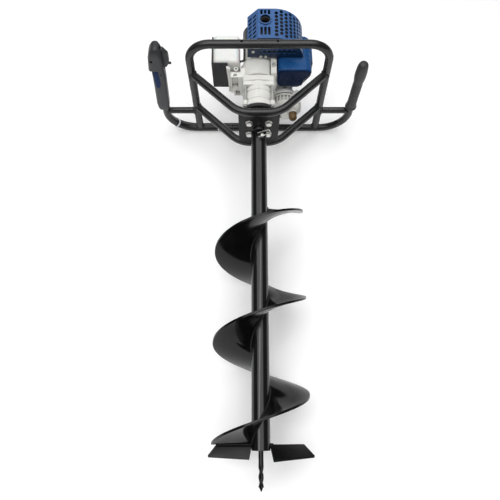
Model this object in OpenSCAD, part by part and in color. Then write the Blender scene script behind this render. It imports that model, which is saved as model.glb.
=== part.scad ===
// Petrol earth auger lying on its back: engine, planetary gearbox, tube frame with two handles
// and a 200 mm drilling bit. Every piece is drawn upright (Z up the bit's axis, tip at zero,
// -Y towards the operator) and laid down onto the floor as the last step.

/* [Auger bit] */
// Diameter that the flight sweeps
flight_d = 200; // [190:1:210]
// Rise of the flight in one turn
flight_pitch = 202; // [196:1:208]
// Turns of the flight
flight_turns = 2.5; // [2.4:0.05:2.6]
// Thickness of the flight plate
flight_t = 5; // [4:0.5:6]
// Length from the pilot's tip to the top of the socket
bit_len = 792; // [782:1:812]
// Outer diameter of the bit's tube
tube_d = 37.5; // [36:0.5:40]
// Length of the pilot point below the tube
pilot_len = 73; // [68:1:78]

/* [Frame] */
// Outer diameter of the frame tubes
frame_d = 19.5; // [19:0.5:21]
// Wall of the frame tubes
frame_wall = 1.8; // [1.5:0.1:2.5]
// Half width of the frame between the side tubes' axes
ring_half_w = 162; // [156:1:168]
// Distance of the front bar's axis from the bit's axis
ring_front = 159; // [150:1:166]
// Distance of the rear bar's axis from the bit's axis
ring_rear = 171; // [166:1:176]
// Half width between the two handle tubes' axes
handle_half = 246; // [240:1:254]
// Height of the frame's axis over the top of the mounting plate
ring_rise = 107; // [102:1:112]
// Width of the mounting plate
plate_w = 98; // [94:1:104]
// Thickness of the mounting plate
plate_t = 6; // [5:0.5:8]
// Side of the square of plate bolts
plate_pitch = 47; // [46:0.5:48]

/* [Gearbox] */
// Height of the gearbox casting
gearbox_h = 68; // [66:1:72]
// Outer diameter of the gearbox barrel
gearbox_d = 76; // [75:0.5:78]
// Radial play of every running fit
run_gap = 0.05; // [0.03:0.01:0.08]

/* [Engine] */
// Height of the fan case
case_h = 43; // [42:0.5:45]
// Height of the muffler guard
guard_h = 88; // [86:1:92]
// Wall of the guard and the shroud
skin_t = 2.5; // [2:0.1:3]
// Height of the fuel tank
tank_h = 84; // [76:1:86]

/* [Node] */
// Piece to draw

/* [Hidden] */
$fn = 96;

black = [0.05, 0.05, 0.06];
steel = [0.72, 0.72, 0.74];
alloy = [0.80, 0.80, 0.78];
blue = [0.06, 0.17, 0.42];
seat = 0.02;
eps = 0.01;

// Levels along the bit's axis
flight_r = flight_d / 2;
tube_r = tube_d / 2;
frame_r = frame_d / 2;
flight_over = 14;
flight_z0 = pilot_len + flight_over;
flight_z1 = flight_z0 + flight_pitch * flight_turns;
// Angle of the flight's lower end, so that it crosses the right side a third of a turn up
flight_a0 = -166;
shaft_show = 15;
z_plate = bit_len + shaft_show;
z_plate_top = z_plate + plate_t;
z_ring = z_plate_top + ring_rise;
cover_h = 38;
z_gear = z_plate_top + cover_h;
z_flange = z_gear + gearbox_h;
flange_h = 15;
z_case = z_flange + flange_h;
z_deck = z_case + case_h;
crankcase_h = 74;
z_starter = z_deck + crankcase_h;
starter_h = 46;
z_top = z_starter + starter_h;
cyl_z = z_deck + 40;

// Laid on the floor: the flight's rear edge and the rear bar both touch it
rear_z = flight_z0 + flight_pitch * (90 - flight_a0 - 360 * floor((90 - flight_a0) / 360)) / 360;
rest_dy = ring_rear - flight_r;
rest_dz = z_ring - rear_z;
lay = atan2(rest_dy, rest_dz) + asin(frame_r / norm([rest_dy, rest_dz]));
touch_a = acos(flight_pitch / (2 * PI * flight_r) * tan(lay));
touch_z = rear_z - flight_pitch * (90 - touch_a) / 360;
floor_rise = flight_r * sin(touch_a) * cos(lay) - touch_z * sin(lay);
starter_r = 40;
y_max = (starter_r - 6) * sin(lay) + z_top * cos(lay);
y_min = 0;
module lay_down()
    translate([0, -(y_max + y_min) / 2, floor_rise]) rotate([lay - 90, 0, 0]) children();

module pipe(l, d = frame_d, wall = frame_wall)
    difference() {
        cylinder(d = d, h = l);
        translate([0, 0, -1]) cylinder(d = d - 2 * wall, h = l + 2);
    }
module bend(r, a, d = frame_d, wall = frame_wall)
    rotate_extrude(angle = a) translate([r, 0]) difference() {
        circle(d = d);
        circle(d = d - 2 * wall);
    }
module rod_bend(r, a, d) rotate_extrude(angle = a) translate([r, 0]) circle(d = d);
module both() {
    children();
    mirror([1, 0, 0]) children();
}
module along_x() rotate([0, 90, 0]) children();
module along_y() rotate([-90, 0, 0]) children();
// Hexagon head screw, head below the origin and shank upwards
module hex_bolt(af, head, d, l) {
    translate([0, 0, -head]) cylinder(d = af / cos(30), h = head, $fn = 6);
    translate([0, 0, -eps]) cylinder(d = d, h = l);
}
// Cap screw with a socket, head below the origin and shank upwards
module cap_screw(d, l) {
    difference() {
        translate([0, 0, -d]) cylinder(d = d * 1.7, h = d);
        translate([0, 0, -d - 1]) cylinder(d = d * 0.9, h = d * 0.6 + 1, $fn = 6);
    }
    translate([0, 0, -eps]) cylinder(d = d, h = l);
}

// Frame of bent steel tube
corner_r = 50;
hole_half = 40;
bar_hole_d = 6;
module front_ring() color(black) translate([0, 0, z_ring]) {
    side_l = ring_front + ring_rear - corner_r;
    difference() {
        union() {
            both() {
                translate([ring_half_w, corner_r - ring_front, 0]) along_y() pipe(side_l);
                translate([ring_half_w - corner_r, corner_r - ring_front, 0])
                    rotate([0, 0, -90]) bend(corner_r, 90);
            }
            translate([corner_r - ring_half_w, -ring_front, 0])
                along_x() pipe(2 * (ring_half_w - corner_r));
        }
        translate([-handle_half, ring_rear, 0])
            along_x() cylinder(r = frame_r + seat, h = 2 * handle_half);
        both() translate([hole_half, -ring_front - frame_d, 0])
            along_y() cylinder(d = bar_hole_d, h = 2 * frame_d);
    }
}
handle_bend = 75;
right_end = -88;
left_end = 4;
module rear_handlebar() color(black) translate([0, ring_rear, z_ring]) {
    half = handle_half - handle_bend;
    translate([-half, 0, 0]) along_x() pipe(2 * half);
    both() translate([half, -handle_bend, 0]) bend(handle_bend, 90);
    translate([handle_half, right_end - ring_rear, 0])
        along_y() pipe(ring_rear - handle_bend - right_end);
    translate([-handle_half, left_end - ring_rear, 0])
        along_y() pipe(ring_rear - handle_bend - left_end);
}
cradle_a = 44;
cradle_r = 70;
cradle_front = -60;
cradle_rear = 70;
cradle_z = z_plate + plate_t / 2;
cradle_flat = ring_half_w - cradle_r * sin(cradle_a)
    - (z_ring - cradle_z - cradle_r * (1 - cos(cradle_a))) / tan(cradle_a);
// Straights lap a hair into the slightly slimmer bends
lap = 0.1;
slim = 0.02;
module cradle_path(d) {
    leg_x = cradle_flat + cradle_r * sin(cradle_a);
    leg_z = cradle_z + cradle_r * (1 - cos(cradle_a));
    leg_l = (z_ring - leg_z) / sin(cradle_a);
    translate([-cradle_flat - lap, 0, cradle_z]) along_x() cylinder(d = d, h = 2 * (cradle_flat + lap));
    both() {
        translate([cradle_flat, 0, cradle_z + cradle_r])
            rotate([90, 0, 0]) rotate([0, 0, -90]) rod_bend(cradle_r, cradle_a, d - slim);
        translate([leg_x, 0, leg_z]) rotate([0, 90 - cradle_a, 0])
            translate([0, 0, -lap]) cylinder(d = d, h = leg_l + lap);
    }
}
module cradle_tubes() color(black) for (y = [cradle_front, cradle_rear]) translate([0, y, 0]) difference() {
    cradle_path(frame_d);
    both() translate([ring_half_w, -handle_bend, z_ring])
        along_y() cylinder(r = frame_r + seat, h = 2 * handle_bend);
}
strut_d = 17;
strut_y = 88;
module handle_struts() color(black) both() difference() {
    translate([ring_half_w, strut_y, z_ring])
        along_x() pipe(handle_half - ring_half_w, strut_d);
    for (x = [ring_half_w, handle_half]) translate([x, strut_y - frame_d, z_ring])
        along_y() cylinder(r = frame_r + seat, h = 2 * frame_d);
}
plate_hole_r = 14;
plate_bolt_d = 8;
module plate_spots() for (x = [-1, 1], y = [-1, 1])
    translate([x * plate_pitch / 2, y * plate_pitch / 2, 0]) children();
module mount_plate() color(black) difference() {
    translate([-plate_w / 2, cradle_front + frame_r + seat, z_plate])
        cube([plate_w, cradle_rear - cradle_front - frame_d - 2 * seat, plate_t]);
    translate([0, 0, z_plate - 1]) {
        cylinder(r = plate_hole_r, h = plate_t + 2);
        plate_spots() cylinder(d = plate_bolt_d + 2 * seat, h = plate_t + 2);
    }
}
plate_bolt_l = 22;
washer_t = 1.6;
module plate_bolts() color(steel) translate([0, 0, z_plate]) plate_spots() {
    translate([0, 0, -washer_t]) difference() {
        cylinder(d = 17, h = washer_t - seat);
        translate([0, 0, -1]) cylinder(d = plate_bolt_d - 1, h = washer_t + 2);
    }
    translate([0, 0, -washer_t]) hex_bolt(13, 5.5, plate_bolt_d, plate_bolt_l);
}

// Handles
grip_front = -97;
grip_back = 72;
module right_grip() color(black) translate([handle_half, grip_front, z_ring]) along_y() {
    l = grip_back - grip_front;
    bulb_l = 64;
    bulb_r = 14.2;
    collar_h = 6;
    difference() {
        union() {
            translate([0, 0, bulb_l]) cylinder(r = 12.6, h = l - bulb_l);
            rotate_extrude() polygon([[0, 0], [6, 0.6], [9.6, 2.6], [11.8, 7], [13.3, 17], [bulb_r, 32],
                                      [bulb_r, 44], [13.6, 54], [12.6, bulb_l], [0, bulb_l]]);
            translate([0, 0, l - collar_h]) cylinder(r = 15, h = collar_h);
        }
        translate([0, 0, right_end - grip_front - seat]) cylinder(r = frame_r + seat, h = l);
    }
}
tie_play = 0.06;
tie_at = ring_half_w - 52;
cable_d = 5;
cable_rise = frame_r + cable_d / 2 + seat;
// One strap round a frame tube and the cable that lies on it
module tie_loop() rotate([90, 0, 0]) translate([0, 0, -2]) linear_extrude(4) difference() {
    hull() {
        circle(r = frame_r + 1.3);
        translate([0, cable_rise]) circle(r = cable_d / 2 + 1.3);
    }
    hull() {
        circle(r = frame_r + tie_play);
        translate([0, cable_rise]) circle(r = cable_d / 2 + tie_play);
    }
}
module cable_ties() color([0.86, 0.86, 0.84]) translate([0, 0, z_ring]) {
    translate([handle_bend - handle_half - handle_bend * sin(45), ring_rear - handle_bend * (1 - cos(45)), 0])
        rotate([0, 0, -45]) tie_loop();
    translate([-tie_at, ring_rear, 0]) rotate([0, 0, 90]) tie_loop();
}
carb_x = 64;
carb_w = 40;
carb_back = 78;
carb_z = z_deck - 23;
carb_h = 22;
cable_turn = 40;
cable_run = carb_x - cable_turn;
cable_s = 25;
cable_a = 60;
module cable_rod(l) translate([0, 0, -lap]) cylinder(d = cable_d, h = l + 2 * lap);
module throttle_cable() color(black) translate([0, 0, z_ring + cable_rise]) {
    half = handle_half - handle_bend;
    rise = carb_z + carb_h / 2 - z_ring - cable_rise;
    slope_l = (rise - 2 * cable_s * (1 - cos(cable_a))) / sin(cable_a);
    flat_l = 2 * cable_s * sin(cable_a) + slope_l * cos(cable_a);
    y1 = ring_rear - cable_turn;
    core = cable_d - slim;
    translate([-handle_half, handle_shell_back - 8, 0])
        along_y() cable_rod(ring_rear - handle_bend - handle_shell_back + 8);
    translate([-half, ring_rear - handle_bend, 0]) rotate([0, 0, 90]) rod_bend(handle_bend, 90, core);
    translate([-half, ring_rear, 0]) along_x() cable_rod(half + cable_run);
    translate([cable_run, y1, 0]) rod_bend(cable_turn, 90, core);
    translate([carb_x, y1, 0]) {
        along_y() cable_rod(lap);
        translate([0, 0, cable_s]) rotate([0, -90, 0]) rotate([0, 0, 180]) rod_bend(cable_s, cable_a, core);
        translate([0, -cable_s * sin(cable_a), cable_s * (1 - cos(cable_a))])
            rotate([90 - cable_a, 0, 0]) cable_rod(slope_l);
        translate([0, -flat_l, rise - cable_s]) rotate([0, -90, 0]) rod_bend(cable_s, cable_a, core);
        translate([0, -flat_l, rise]) rotate([90, 0, 0]) cable_rod(y1 - flat_l - carb_back - lap - seat);
    }
}

// Throttle handle: two shells round the end of the left tube, with a deeper head over the trigger
handle_shell_back = 70;
shell_half = 14;
head_deep = 20;
handle_x = -handle_half;
grip_pts = [[-16, 70], [-17.5, 44], [-10, -58], [-8, -96], [22, -96], [22, -58], [14.5, 44], [12, 70]];
head_pts = [[-13, -92], [-10.5, -112], [-8, -130], [-3, -146], [3, -154], [10, -157], [17, -155],
            [22, -149], [24, -140], [23, -122], [22, -92]];
trigger_half = 5;
pivot = [9, -90];
slot_pts = [[1.5, -78], [60, -78], [60, -150.5], [6.5, -150.5], [6.5, -112], [1.5, -100]];
lever_pin = [-12, -5];
switch_x = 0;
module grip_plan() translate([handle_x, 0]) offset(r = 3) offset(delta = -3) polygon(grip_pts);
module head_plan() translate([handle_x, 0]) offset(r = 2) offset(delta = -2) polygon(head_pts);
module shell_cuts() {
    translate([handle_x, left_end - seat, z_ring]) along_y() cylinder(r = frame_r + seat, h = 200);
    translate([handle_x, 0, z_ring - trigger_half - 0.5])
        linear_extrude(2 * trigger_half + 1) polygon(slot_pts);
    translate([handle_x - 9, lever_pin[0], z_ring + shell_half + lever_pin[1]])
        along_x() cylinder(r = 1.5 + seat, h = 18);
    translate([handle_x + pivot[0], pivot[1], z_ring - 9]) cylinder(r = 2.5 + seat, h = 18);
}
shell_screws = [[14, -70], [-1.5, -124]];
insert_pts = [[-6.5, -83], [7, -83], [7, -40], [2, -22], [-6, -26]];
insert_t = 2;
module shell_screw_spots() for (p = shell_screws)
    translate([handle_x + p[0], p[1], z_ring - shell_half]) children();
module handle_lower_shell() color([0.09, 0.09, 0.10]) difference() {
    union() {
        translate([0, 0, z_ring - shell_half]) linear_extrude(shell_half) grip_plan();
        translate([0, 0, z_ring - head_deep]) linear_extrude(head_deep) head_plan();
    }
    shell_cuts();
    translate([handle_x, 0, z_ring - shell_half - 1])
        linear_extrude(insert_t + 1) offset(delta = seat) polygon(insert_pts);
    shell_screw_spots() {
        translate([0, 0, -head_deep]) cylinder(d = 7.2, h = head_deep + 3);
        cylinder(d = 4 + 2 * seat, h = 22);
    }
}
module handle_upper_shell() color([0.09, 0.09, 0.10]) difference() {
    translate([0, 0, z_ring + seat]) linear_extrude(shell_half) union() {
        grip_plan();
        head_plan();
    }
    shell_cuts();
    shell_screw_spots() cylinder(d = 4 + 2 * seat, h = 22);
    translate([handle_x - 6, -56 - 2, z_ring + shell_half - 9]) cube([12, 52, 30]);
    translate([handle_x + switch_x - 1, -128, z_ring + shell_half - 4]) cube([14, 26, 30]);
    translate([handle_x, handle_shell_back - 20, z_ring + cable_rise])
        along_y() cylinder(d = cable_d + 2 * seat, h = 30);
}
module grip_insert() color(blue) translate([handle_x, 0, z_ring - shell_half - 0.6])
    linear_extrude(insert_t + 0.6 - seat) polygon(insert_pts);
module throttle_trigger() color(black) translate([handle_x, 0, z_ring - trigger_half]) {
    linear_extrude(2 * trigger_half)
        polygon([[4, -84], [21, -86], [30, -92], [36.5, -106], [37, -130], [27, -146],
                 [22, -146], [16, -118], [4, -98]]);
    translate([pivot[0], pivot[1], -3.5]) cylinder(r = 2.5, h = 2 * trigger_half + 7);
    translate([28, -98, trigger_half]) along_x() cylinder(r = 3.2, h = 12);
}
module lockout_lever() color(black) translate([handle_x, 0, z_ring + shell_half]) {
    lever_w = 11;
    rotate([90, 0, 90]) translate([0, 0, -lever_w / 2]) linear_extrude(lever_w)
        polygon([[-9, -7], [-8, 1], [-16, 5.5], [-44, 7], [-54, 3], [-56, -1], [-50, 0], [-20, -2],
                 [-15, -7]]);
    translate([-8.8, lever_pin[0], lever_pin[1]]) along_x() cylinder(r = 1.5, h = 17.6);
}
module stop_switch() color([0.55, 0.06, 0.05])
    translate([handle_x + switch_x, -126, z_ring + shell_half - 4 + run_gap]) {
        cube([12, 14, 3.4]);
        for (k = [0:3]) translate([1, 1.6 + 3 * k, 3.4 - eps]) cube([10, 1.6, 2.4]);
    }

// Gearbox
gear_m = 1;
pressure = 25;
sun_n = 12;
planet_n = 21;
ring_n = 54;
addend = 0.85;
dedend = 1.10;
backlash = 0.16;
gear_arm = gear_m * (sun_n + planet_n) / 2;
function involute(a) = tan(a) - a * PI / 180;
function half_tooth(n, r, thin) =
    90 / n + (involute(pressure) - involute(acos(min(1, n * gear_m / 2 * cos(pressure) / r)))) * 180 / PI
    - thin / (n * gear_m / 2) * 90 / PI;
function tooth_radii(n, low, high) = [for (k = [0:4]) n * gear_m / 2 - low + (low + high) * k / 4];
function gear_pts(n, low, high, thin) = [for (t = [0:n - 1])
    let (c = t * 360 / n, rs = tooth_radii(n, low * gear_m, high * gear_m))
    each concat(
        [for (k = [0:4]) rs[k] * [cos(c - half_tooth(n, rs[k], thin)), sin(c - half_tooth(n, rs[k], thin))]],
        [for (k = [4:-1:0]) rs[k] * [cos(c + half_tooth(n, rs[k], thin)), sin(c + half_tooth(n, rs[k], thin))]])];
module gear(n, h) linear_extrude(h) polygon(gear_pts(n, dedend, addend, backlash / 2));
long_bolt = [33, 30];
module long_spots() for (x = [-1, 1], y = [-1, 1])
    translate([x * long_bolt[0], y * long_bolt[1], 0]) children();
cover_r = 42;
shaft_r = 10;
neck_r = 19;
boss_r = 6.2;
lip_h = 8;
lip_ring = 25;
lip_bolt_d = 5;
module lip_spots() for (a = [0:60:300]) rotate([0, 0, a]) translate([lip_ring, 0, 0]) children();
module gearbox_cover() color(black) translate([0, 0, z_plate_top + seat]) difference() {
    union() {
        translate([0, 0, cover_h - lip_h]) cylinder(r = cover_r, h = lip_h - seat);
        cylinder(r = neck_r, h = cover_h - lip_h + eps);
        plate_spots() cylinder(r = boss_r, h = cover_h - lip_h + eps);
    }
    translate([0, 0, -1]) {
        cylinder(r = shaft_r + 0.3, h = cover_h + 2);
        plate_spots() cylinder(d = plate_bolt_d + 2 * seat, h = plate_bolt_l);
        lip_spots() cylinder(d = lip_bolt_d + 2 * seat, h = cover_h + 2);
    }
    translate([0, 0, cover_h - lip_h - 1]) long_spots() cylinder(r = 5.6, h = lip_h + 2);
}
gear_r = gearbox_d / 2;
base_h = 12;
top_lug_h = 12;
ring_out_r = 33;
bearing_r = 21;
bearing_h = 12;
cavity_z = 17;
band_h = 4;
groove_l = 24;
module gearbox_housing() color(alloy) translate([0, 0, z_gear + seat]) difference() {
    union() {
        cylinder(r = cover_r, h = base_h);
        cylinder(r = gear_r, h = gearbox_h - seat);
        for (k = [0.28, 0.62]) translate([0, 0, gearbox_h * k]) cylinder(r = gear_r + 1.2, h = band_h);
        long_spots() cylinder(r = 6.5, h = base_h);
        translate([0, 0, gearbox_h - top_lug_h - seat]) hull()
            long_spots() cylinder(r = 6.5, h = top_lug_h, $fn = 32);
    }
    translate([0, 0, cavity_z]) cylinder(r = ring_out_r + seat, h = gearbox_h);
    translate([0, 0, cavity_z - bearing_h]) cylinder(r = bearing_r + seat, h = bearing_h + 1);
    translate([0, 0, -1]) {
        cylinder(r = bearing_r - 5, h = gearbox_h);
        long_spots() cylinder(r = 3 + seat, h = gearbox_h + 2);
        lip_spots() cylinder(d = lip_bolt_d + 2 * seat, h = base_h);
    }
    translate([0, -gear_r - 1, gearbox_h - top_lug_h - groove_l / 2]) cube([1.6, 3, groove_l], center = true);
}
module gearbox_bolts() color(steel) {
    long_spots() translate([0, 0, z_gear]) hex_bolt(9, 3.9, 6, gearbox_h + flange_h - 3);
    lip_spots() translate([0, 0, z_gear - lip_h - seat]) hex_bolt(8, 3.4, lip_bolt_d, lip_h + base_h - 3);
}
crank_r = 7.5;
input_r = 6;
module ring_bearing(r1, r0, h) difference() {
    cylinder(r = r1, h = h);
    translate([0, 0, -1]) cylinder(r = r0, h = h + 2);
}
crank_low = z_deck + 1;
crank_high = z_starter - 10;
module ball_bearings() color(steel) {
    translate([0, 0, z_gear + cavity_z - bearing_h + 2 * seat]) ring_bearing(bearing_r, shaft_r + run_gap, bearing_h - 2 * seat);
    translate([0, 0, z_flange + 3]) ring_bearing(14, input_r + run_gap, 8);
    for (z = [crank_low, crank_high]) translate([0, 0, z]) ring_bearing(16, crank_r + run_gap, 9);
}
z_out = z_gear + cavity_z + 1;
disc_h = 5;
stage_gap = 1;
tooth_h = (gearbox_h - cavity_z - 2 * disc_h - 4 * stage_gap - 13) / 2;
z_planet2 = z_out + disc_h + stage_gap;
z_mid = z_planet2 + tooth_h + stage_gap;
z_planet1 = z_mid + disc_h + stage_gap;
ring_gear_z = z_gear + cavity_z + 2 * seat;
ring_gear_h = z_planet1 + tooth_h + 2 - ring_gear_z;
pin_r = 3;
carrier_r = 24;
module ring_gear() color(steel) translate([0, 0, ring_gear_z]) linear_extrude(ring_gear_h) difference() {
    circle(r = ring_out_r);
    polygon(gear_pts(ring_n, addend, dedend, -backlash / 2));
}
pin_hole_z = bit_len - 22;
drive_d = 8;
shaft_in = 60;
module output_shaft() color(steel) difference() {
    union() {
        translate([0, 0, bit_len - shaft_in]) cylinder(r = shaft_r, h = z_out - bit_len + shaft_in + eps);
        translate([0, 0, z_out]) cylinder(r = carrier_r, h = disc_h);
        for (a = [0, 120, 240]) rotate([0, 0, a]) translate([gear_arm, 0, z_out])
            cylinder(r = pin_r, h = disc_h + tooth_h + stage_gap);
    }
    translate([0, 0, pin_hole_z]) rotate([0, 0, drive_a]) translate([-40, 0, 0])
        along_x() cylinder(d = drive_d + 2 * seat, h = 80);
}
module planet(z, a) color(steel) rotate([0, 0, a]) translate([gear_arm, 0, z]) difference() {
    gear(planet_n, tooth_h);
    translate([0, 0, -1]) cylinder(r = pin_r + run_gap, h = tooth_h + 2);
}
module output_planet_a() planet(z_planet2, 0);
module output_planet_b() planet(z_planet2, 120);
module output_planet_c() planet(z_planet2, 240);
module middle_carrier() color(steel) {
    translate([0, 0, z_planet2]) gear(sun_n, tooth_h + stage_gap + eps);
    translate([0, 0, z_mid]) cylinder(r = carrier_r, h = disc_h);
    for (a = [0, 180]) rotate([0, 0, a]) translate([gear_arm, 0, z_mid])
        cylinder(r = pin_r, h = disc_h + tooth_h + stage_gap);
}
module input_planet_a() planet(z_planet1, 0);
module input_planet_b() planet(z_planet1, 180);
drum_r = 36;
drum_h = 17;
z_drum = z_case + 4;
module clutch_drum() color(steel) {
    translate([0, 0, z_planet1]) gear(sun_n, tooth_h + 2);
    translate([0, 0, z_planet1 + tooth_h + 2 - eps])
        cylinder(r = input_r - 1.2, h = z_flange - z_planet1 - tooth_h - 8);
    translate([0, 0, z_flange - 8]) cylinder(r = input_r, h = z_drum - z_flange + 8 + eps);
    translate([0, 0, z_drum]) difference() {
        cylinder(r = drum_r, h = drum_h);
        translate([0, 0, 2.5]) cylinder(r = drum_r - 3, h = drum_h);
    }
}

// Engine
case_r = 46;
case_in_r = 42;
case_left = -70;
case_left_h = 27;
strap_pts = [[-80, -44], [-71, -40], [-68, 20], [-68, 44], [-76, 48], [-77, 0]];
module fan_case() color(alloy) difference() {
    union() {
        translate([0, 0, z_case - eps]) cylinder(r = case_r, h = case_h + eps);
        translate([case_left, -30, z_case]) cube([-case_left, 62, case_left_h]);
        translate([case_left + 8, 20, z_case]) cube([-case_left, 24, case_left_h - 8]);
        translate([0, 0, z_case + case_left_h - 13]) linear_extrude(8) polygon(strap_pts);
        translate([30, -45, z_case]) cube([14, 22, case_h]);
        translate([0, 0, z_flange + seat]) linear_extrude(flange_h) hull() {
            long_spots() circle(r = 7, $fn = 32);
            circle(r = 40, $fn = 64);
        }
    }
    translate([case_left + 3, -27, z_case - 1]) cube([16, 44, 15]);
    translate([case_left + 11, 23, z_case - 1]) cube([12, 18, 12]);
    translate([0, 0, z_case + 3]) cylinder(r = case_in_r, h = case_h);
    translate([0, 0, z_flange - 1]) cylinder(r = 9, h = 20);
    translate([0, 0, z_flange + 3 - seat]) cylinder(r = 14 + seat, h = 20);
    translate([0, 0, z_flange - 1]) long_spots() cylinder(r = 3 + seat, h = flange_h + 0.4);
    translate(case_screw - [0, 1, 0]) along_y() cylinder(r = 2.5 + seat, h = 12);
}
z_fly = z_case + 25;
fly_r = case_in_r - 2;
fly_hub_r = 18;
fly_hub_h = 14;
module flywheel() color(alloy) translate([0, 0, z_fly]) difference() {
    union() {
        cylinder(r = fly_r, h = 4);
        cylinder(r = fly_hub_r, h = fly_hub_h);
        for (k = [0:11]) rotate([0, 0, 30 * k]) translate([fly_hub_r - 1, -1.5, 0])
            cube([fly_r - fly_hub_r - 1, 3, fly_hub_h - 1]);
    }
    translate([0, 0, -1]) cylinder(r = crank_r + seat, h = 20);
}
module clutch_shoes() color(steel) translate([0, 0, z_drum + 3.5]) difference() {
    cylinder(r = 31, h = 13);
    translate([0, 0, -1]) {
        cylinder(r = crank_r + seat, h = 20);
        translate([-60, -2, 0]) cube([120, 4, 20]);
    }
}
web_r = 27;
crank_pin = 15;
module crankshaft() color(steel) {
    z0 = z_drum + 3.5;
    web_z = cyl_z - 16;
    translate([0, 0, z0]) cylinder(r = crank_r, h = web_z - z0 + eps);
    translate([0, 0, web_z]) cylinder(r = web_r, h = 9);
    translate([crank_pin, 0, web_z]) cylinder(r = 7, h = 32);
    translate([0, 0, web_z + 23]) cylinder(r = web_r, h = 9);
    translate([0, 0, web_z + 31]) cylinder(r = crank_r, h = z_starter - web_z - 26);
    translate([0, 0, z_starter + 1]) cylinder(r = 15, h = 5);
    for (k = [0:2]) rotate([0, 0, 120 * k]) translate([10, 0, z_starter + 5]) cylinder(r = 3, h = 3);
}
crankcase_r = 38;
module crankcase() color(alloy) difference() {
    union() {
        translate([0, 0, z_deck + seat]) cylinder(r = crankcase_r + 6, h = 4);
        translate([0, 0, z_deck + seat]) cylinder(r = crankcase_r, h = crankcase_h - seat);
        translate([0, -30, z_deck + 10]) cube([crankcase_r, 60, crankcase_h - 14]);
    }
    translate([0, 0, z_deck + 10 - seat]) cylinder(r = 30, h = crankcase_h - 20 + 2 * seat);
    translate([0, 0, z_deck + 1 - seat]) cylinder(r = 16 + seat, h = crankcase_h - 2 + 2 * seat);
    translate([0, 0, z_deck - 1]) cylinder(r = 12, h = crankcase_h + 2);
    translate([0, 0, cyl_z]) along_x() cylinder(r = 20, h = 60);
}
fin_r = 30;
head_x = 96;
module cylinder_block() translate([crankcase_r + seat, 0, cyl_z]) {
    l = head_x - crankcase_r;
    difference() {
        union() {
            translate([0, -28, -28]) cube([6, 56, 56]);
            along_x() cylinder(r = 25, h = l + 6);
            for (k = [0:6]) translate([14 + 7.4 * k, 0, 0]) along_x() cylinder(r = fin_r, h = 2);
            translate([20, -40, -11]) cube([24, 80, 22]);
        }
        translate([-1, 0, 0]) along_x() cylinder(r = 20, h = l + 1);
        along_x() cylinder(r = 5 + seat, h = l + 20);
        translate([32, -41, 0]) along_y() cylinder(r = 7, h = 82);
    }
}
module cylinder_barrel() color(alloy) cylinder_block();
module spark_plug() color([0.85, 0.83, 0.78]) translate([head_x + 6 + 2 * seat, 0, cyl_z]) along_x() {
    translate([0, 0, -10]) cylinder(r = 5, h = 10 + eps);
    cylinder(r = 9, h = 6, $fn = 6);
    translate([0, 0, 6 - eps]) cylinder(r = 5, h = 12);
    translate([0, 0, 18 - 2 * eps]) cylinder(r = 2.5, h = 6);
}
guard_z0 = z_deck;
guard_left = -28;
guard_right = 110;
guard_front = -115;
guard_back = -50;
guard_round = 74;
outlet = [15, z_deck + 54];
outlet_r = 12;
muffler_left = -10;
muffler_front = -102;
muffler_back = -56;
muffler_right = 101;
muffler_lift = 9;
muffler_gap = 8;
muffler_h = 74;
muffler_t = 2;
guard_mid = [guard_right - guard_round, guard_front + guard_round];
// Plan of the muffler's box, which follows the guard's round corner
module muffler_plan(in = 0) {
    translate([muffler_left + in, muffler_front + in])
        square([guard_mid[0] - muffler_left - in, muffler_back - muffler_front - 2 * in]);
    intersection() {
        translate(guard_mid) circle(r = guard_round - muffler_gap - in);
        translate([guard_mid[0] - eps, muffler_front + in])
            square([muffler_right - guard_mid[0] - in, muffler_back - muffler_front - 2 * in]);
    }
}
module muffler() color([0.45, 0.45, 0.46]) difference() {
    union() {
        translate([0, 0, z_deck + muffler_lift]) linear_extrude(muffler_h) muffler_plan();
        translate([outlet[0], guard_front + 3, outlet[1]]) along_y() cylinder(r = outlet_r, h = 12);
        translate([crankcase_r + 20, muffler_back - 1, cyl_z - 11])
            cube([24, -40 - muffler_back + 1 - seat, 22]);
    }
    translate([0, 0, z_deck + muffler_lift + muffler_t]) linear_extrude(muffler_h - 2 * muffler_t) muffler_plan(muffler_t);
    translate([outlet[0], guard_front + 2, outlet[1]]) along_y() cylinder(r = outlet_r - muffler_t, h = 20);
    translate([crankcase_r + 32, muffler_back - 4, cyl_z]) along_y() cylinder(r = 7, h = 30);
}
facet = [26, 27];
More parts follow.
